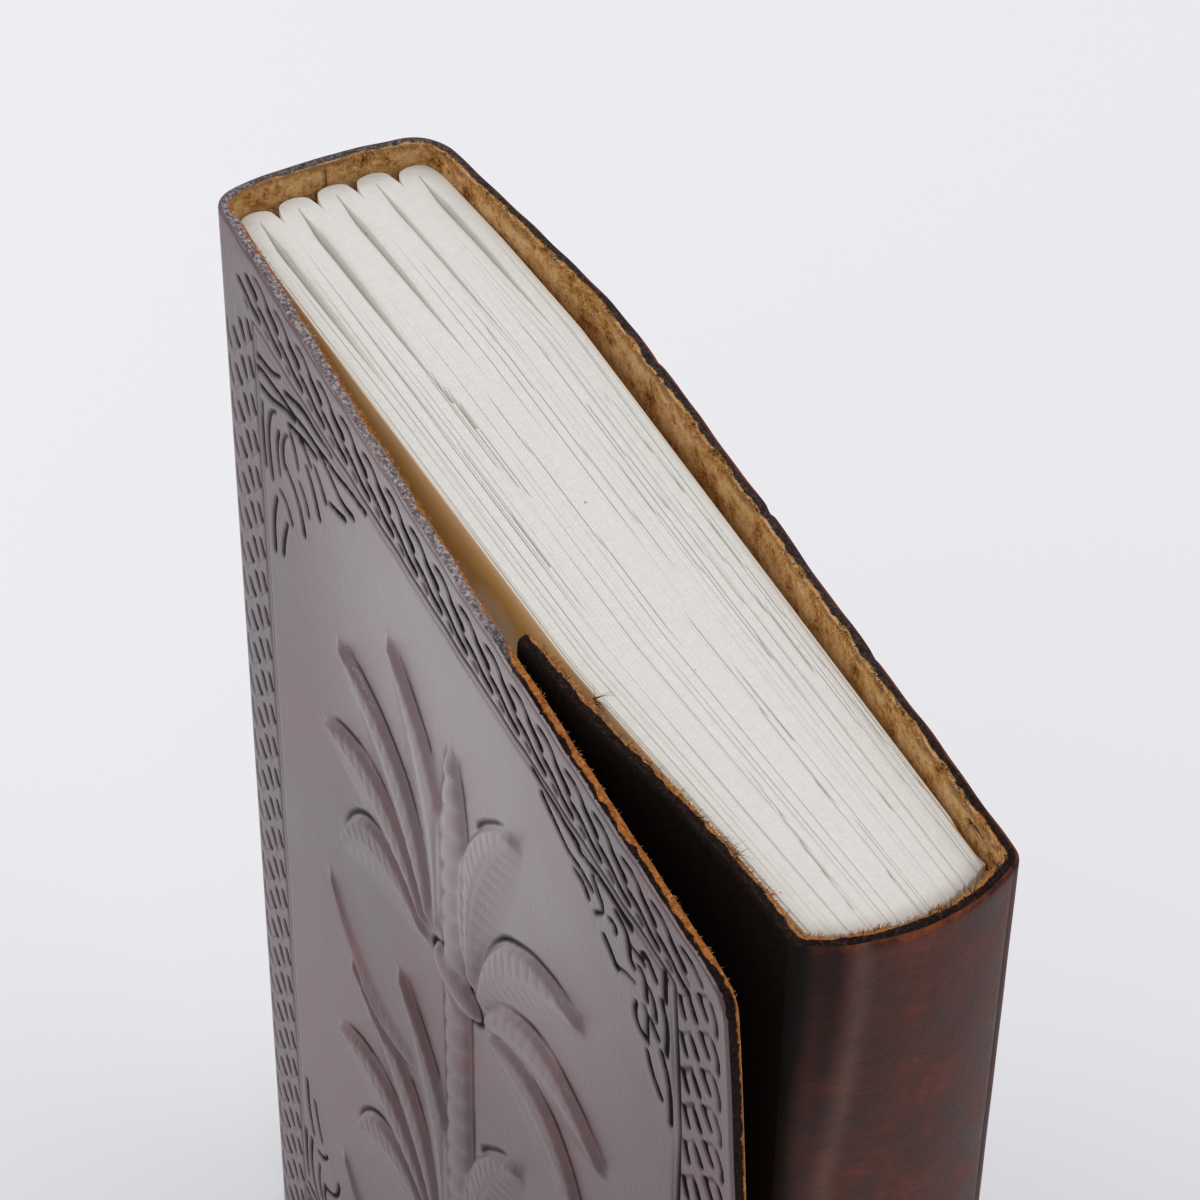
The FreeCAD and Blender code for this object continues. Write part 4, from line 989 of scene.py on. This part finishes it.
up = add(tree, "ShaderNodeSeparateXYZ", {0: coords}).outputs[2]
from_head = add(tree, "ShaderNodeMath", {0: PAGE_HIGH * MM, 1: up}, operation="SUBTRACT")
# Painted warm shade: on the two outer leaves a tan is painted down from the head, standing in for the shade
# and the tan bounce light off the hide.
spread = add(tree, "ShaderNodeMath", {0: warm_shade_noise, 1: from_head}, operation="MULTIPLY")
deep = add(tree, "ShaderNodeMapRange", {"Value": spread, "From Max": 0.01})
painted_warm_shade = add(tree, "ShaderNodeValToRGB", {0: deep}, stops=[
    (0.0, "#dcd3c4"), (0.015, "#c4a27a"), (0.1, "#b9905a"), (0.25, "#b2884a"), (0.65, "#dcd4c4")])
with_painted_warm_shade = add(tree, "ShaderNodeMix", {0: outside, 6: colour, 7: painted_warm_shade}, data_type="RGBA")
# Painted shade: the sides of the sheets below the head are mixed towards grey-brown, a little everywhere and
# most in the gaps and valleys.
from_tail = add(tree, "ShaderNodeMath", {0: up, 1: PAGE_LOW * MM}, operation="SUBTRACT")
into = add(tree, "ShaderNodeMath", {0: from_head, 1: from_tail}, operation="MINIMUM")
inside = add(tree, "ShaderNodeMapRange", {"Value": into, "From Min": 0.00003, "From Max": 0.0004})
between = add(tree, "ShaderNodeMath", {0: 0.3, 1: outside}, operation="SUBTRACT")
shaded = add(tree, "ShaderNodeMath", {0: valley, 1: between}, operation="MAXIMUM")
painted_gap_shade = add(tree, "ShaderNodeMath", {0: shaded, 1: inside}, operation="MULTIPLY")
toned = add(tree, "ShaderNodeMix", {0: painted_gap_shade, 6: with_painted_warm_shade, 7: linear("#a39b8a")}, data_type="RGBA")
bump = add(tree, "ShaderNodeBump", {"Height": grit, "Strength": 0.5, "Distance": 0.00006})
connect(tree, shader, {"Base Color": toned, "Roughness": 0.85, "Specular IOR Level": 0.25,
                       "Normal": bump})

leaves, leaves_keys, given = recipe("sheets_from_paths", {
    "Paths": "Geometry", "Sheet height": "Float", "Paper": "Material"}, "Sheets")
rise = add(leaves, "ShaderNodeCombineXYZ", {2: given["Sheet height"]})
ribbon = add(leaves, "GeometryNodeExtrudeMesh", {
    "Mesh": given["Paths"], "Offset": rise, "Offset Scale": 1.0}, mode="EDGES")
lift = add(leaves, "GeometryNodeInputNamedAttribute", {"Name": "lift"}, data_type="FLOAT")
upward = add(leaves, "ShaderNodeCombineXYZ", {2: lift})
raised = add(leaves, "GeometryNodeSetPosition", {
    "Geometry": ribbon, "Selection": ribbon.outputs["Top"], "Offset": upward})
thick = add(leaves, "GeometryNodeInputNamedAttribute", {"Name": "thick"}, data_type="FLOAT")
body = add(leaves, "GeometryNodeExtrudeMesh", {
    "Mesh": raised, "Offset Scale": thick, "Individual": False}, mode="FACES")
reverse = add(leaves, "GeometryNodeFlipFaces", {"Mesh": raised})
both = add(leaves, "GeometryNodeJoinGeometry", {0: body})
connect(leaves, both, {0: reverse})
sealed = add(leaves, "GeometryNodeMergeByDistance", {"Geometry": both, "Distance": 0.000001})
real = add(leaves, "GeometryNodeRealizeInstances", {"Geometry": sealed})
coated = add(leaves, "GeometryNodeSetMaterial", {"Geometry": real, "Material": given["Paper"]})
add(leaves, "NodeGroupOutput", {0: coated})
grow(pages, leaves, leaves_keys, {"Sheet height": (PAGE_HIGH - PAGE_LOW) * MM, "Paper": paper}, paper)
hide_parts("page_block")
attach(pages, "bound_pages")

# ---- sewing ----
# Waxed linen thread, one length through the middle of each signature and out over the spine.
# Its strands come round once in 1.8 mm, as real ones do.
linen, tree, shader, coords = finish_named("waxed_linen_thread")
twist = add(tree, "ShaderNodeTexWave", {"Vector": coords, "Scale": 350, "Distortion": 1.0},
            bands_direction="DIAGONAL").outputs["Fac"]
tone = add(tree, "ShaderNodeValToRGB", {0: twist}, stops=[(0.0, "#9a8463"), (1.0, "#cdbb97")])
bump = add(tree, "ShaderNodeBump", {"Height": twist, "Strength": 0.6, "Distance": 0.0001})
connect(tree, shader, {"Base Color": tone, "Roughness": 0.6, "Normal": bump})
for number in range(1, SIGNATURES + 1):
    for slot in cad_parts["signature_thread_%d" % number].material_slots:
        slot.material = linen

sizes = {"cad": [list(corner) for corner in cad_box], "visual": [list(corner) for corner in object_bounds()]}
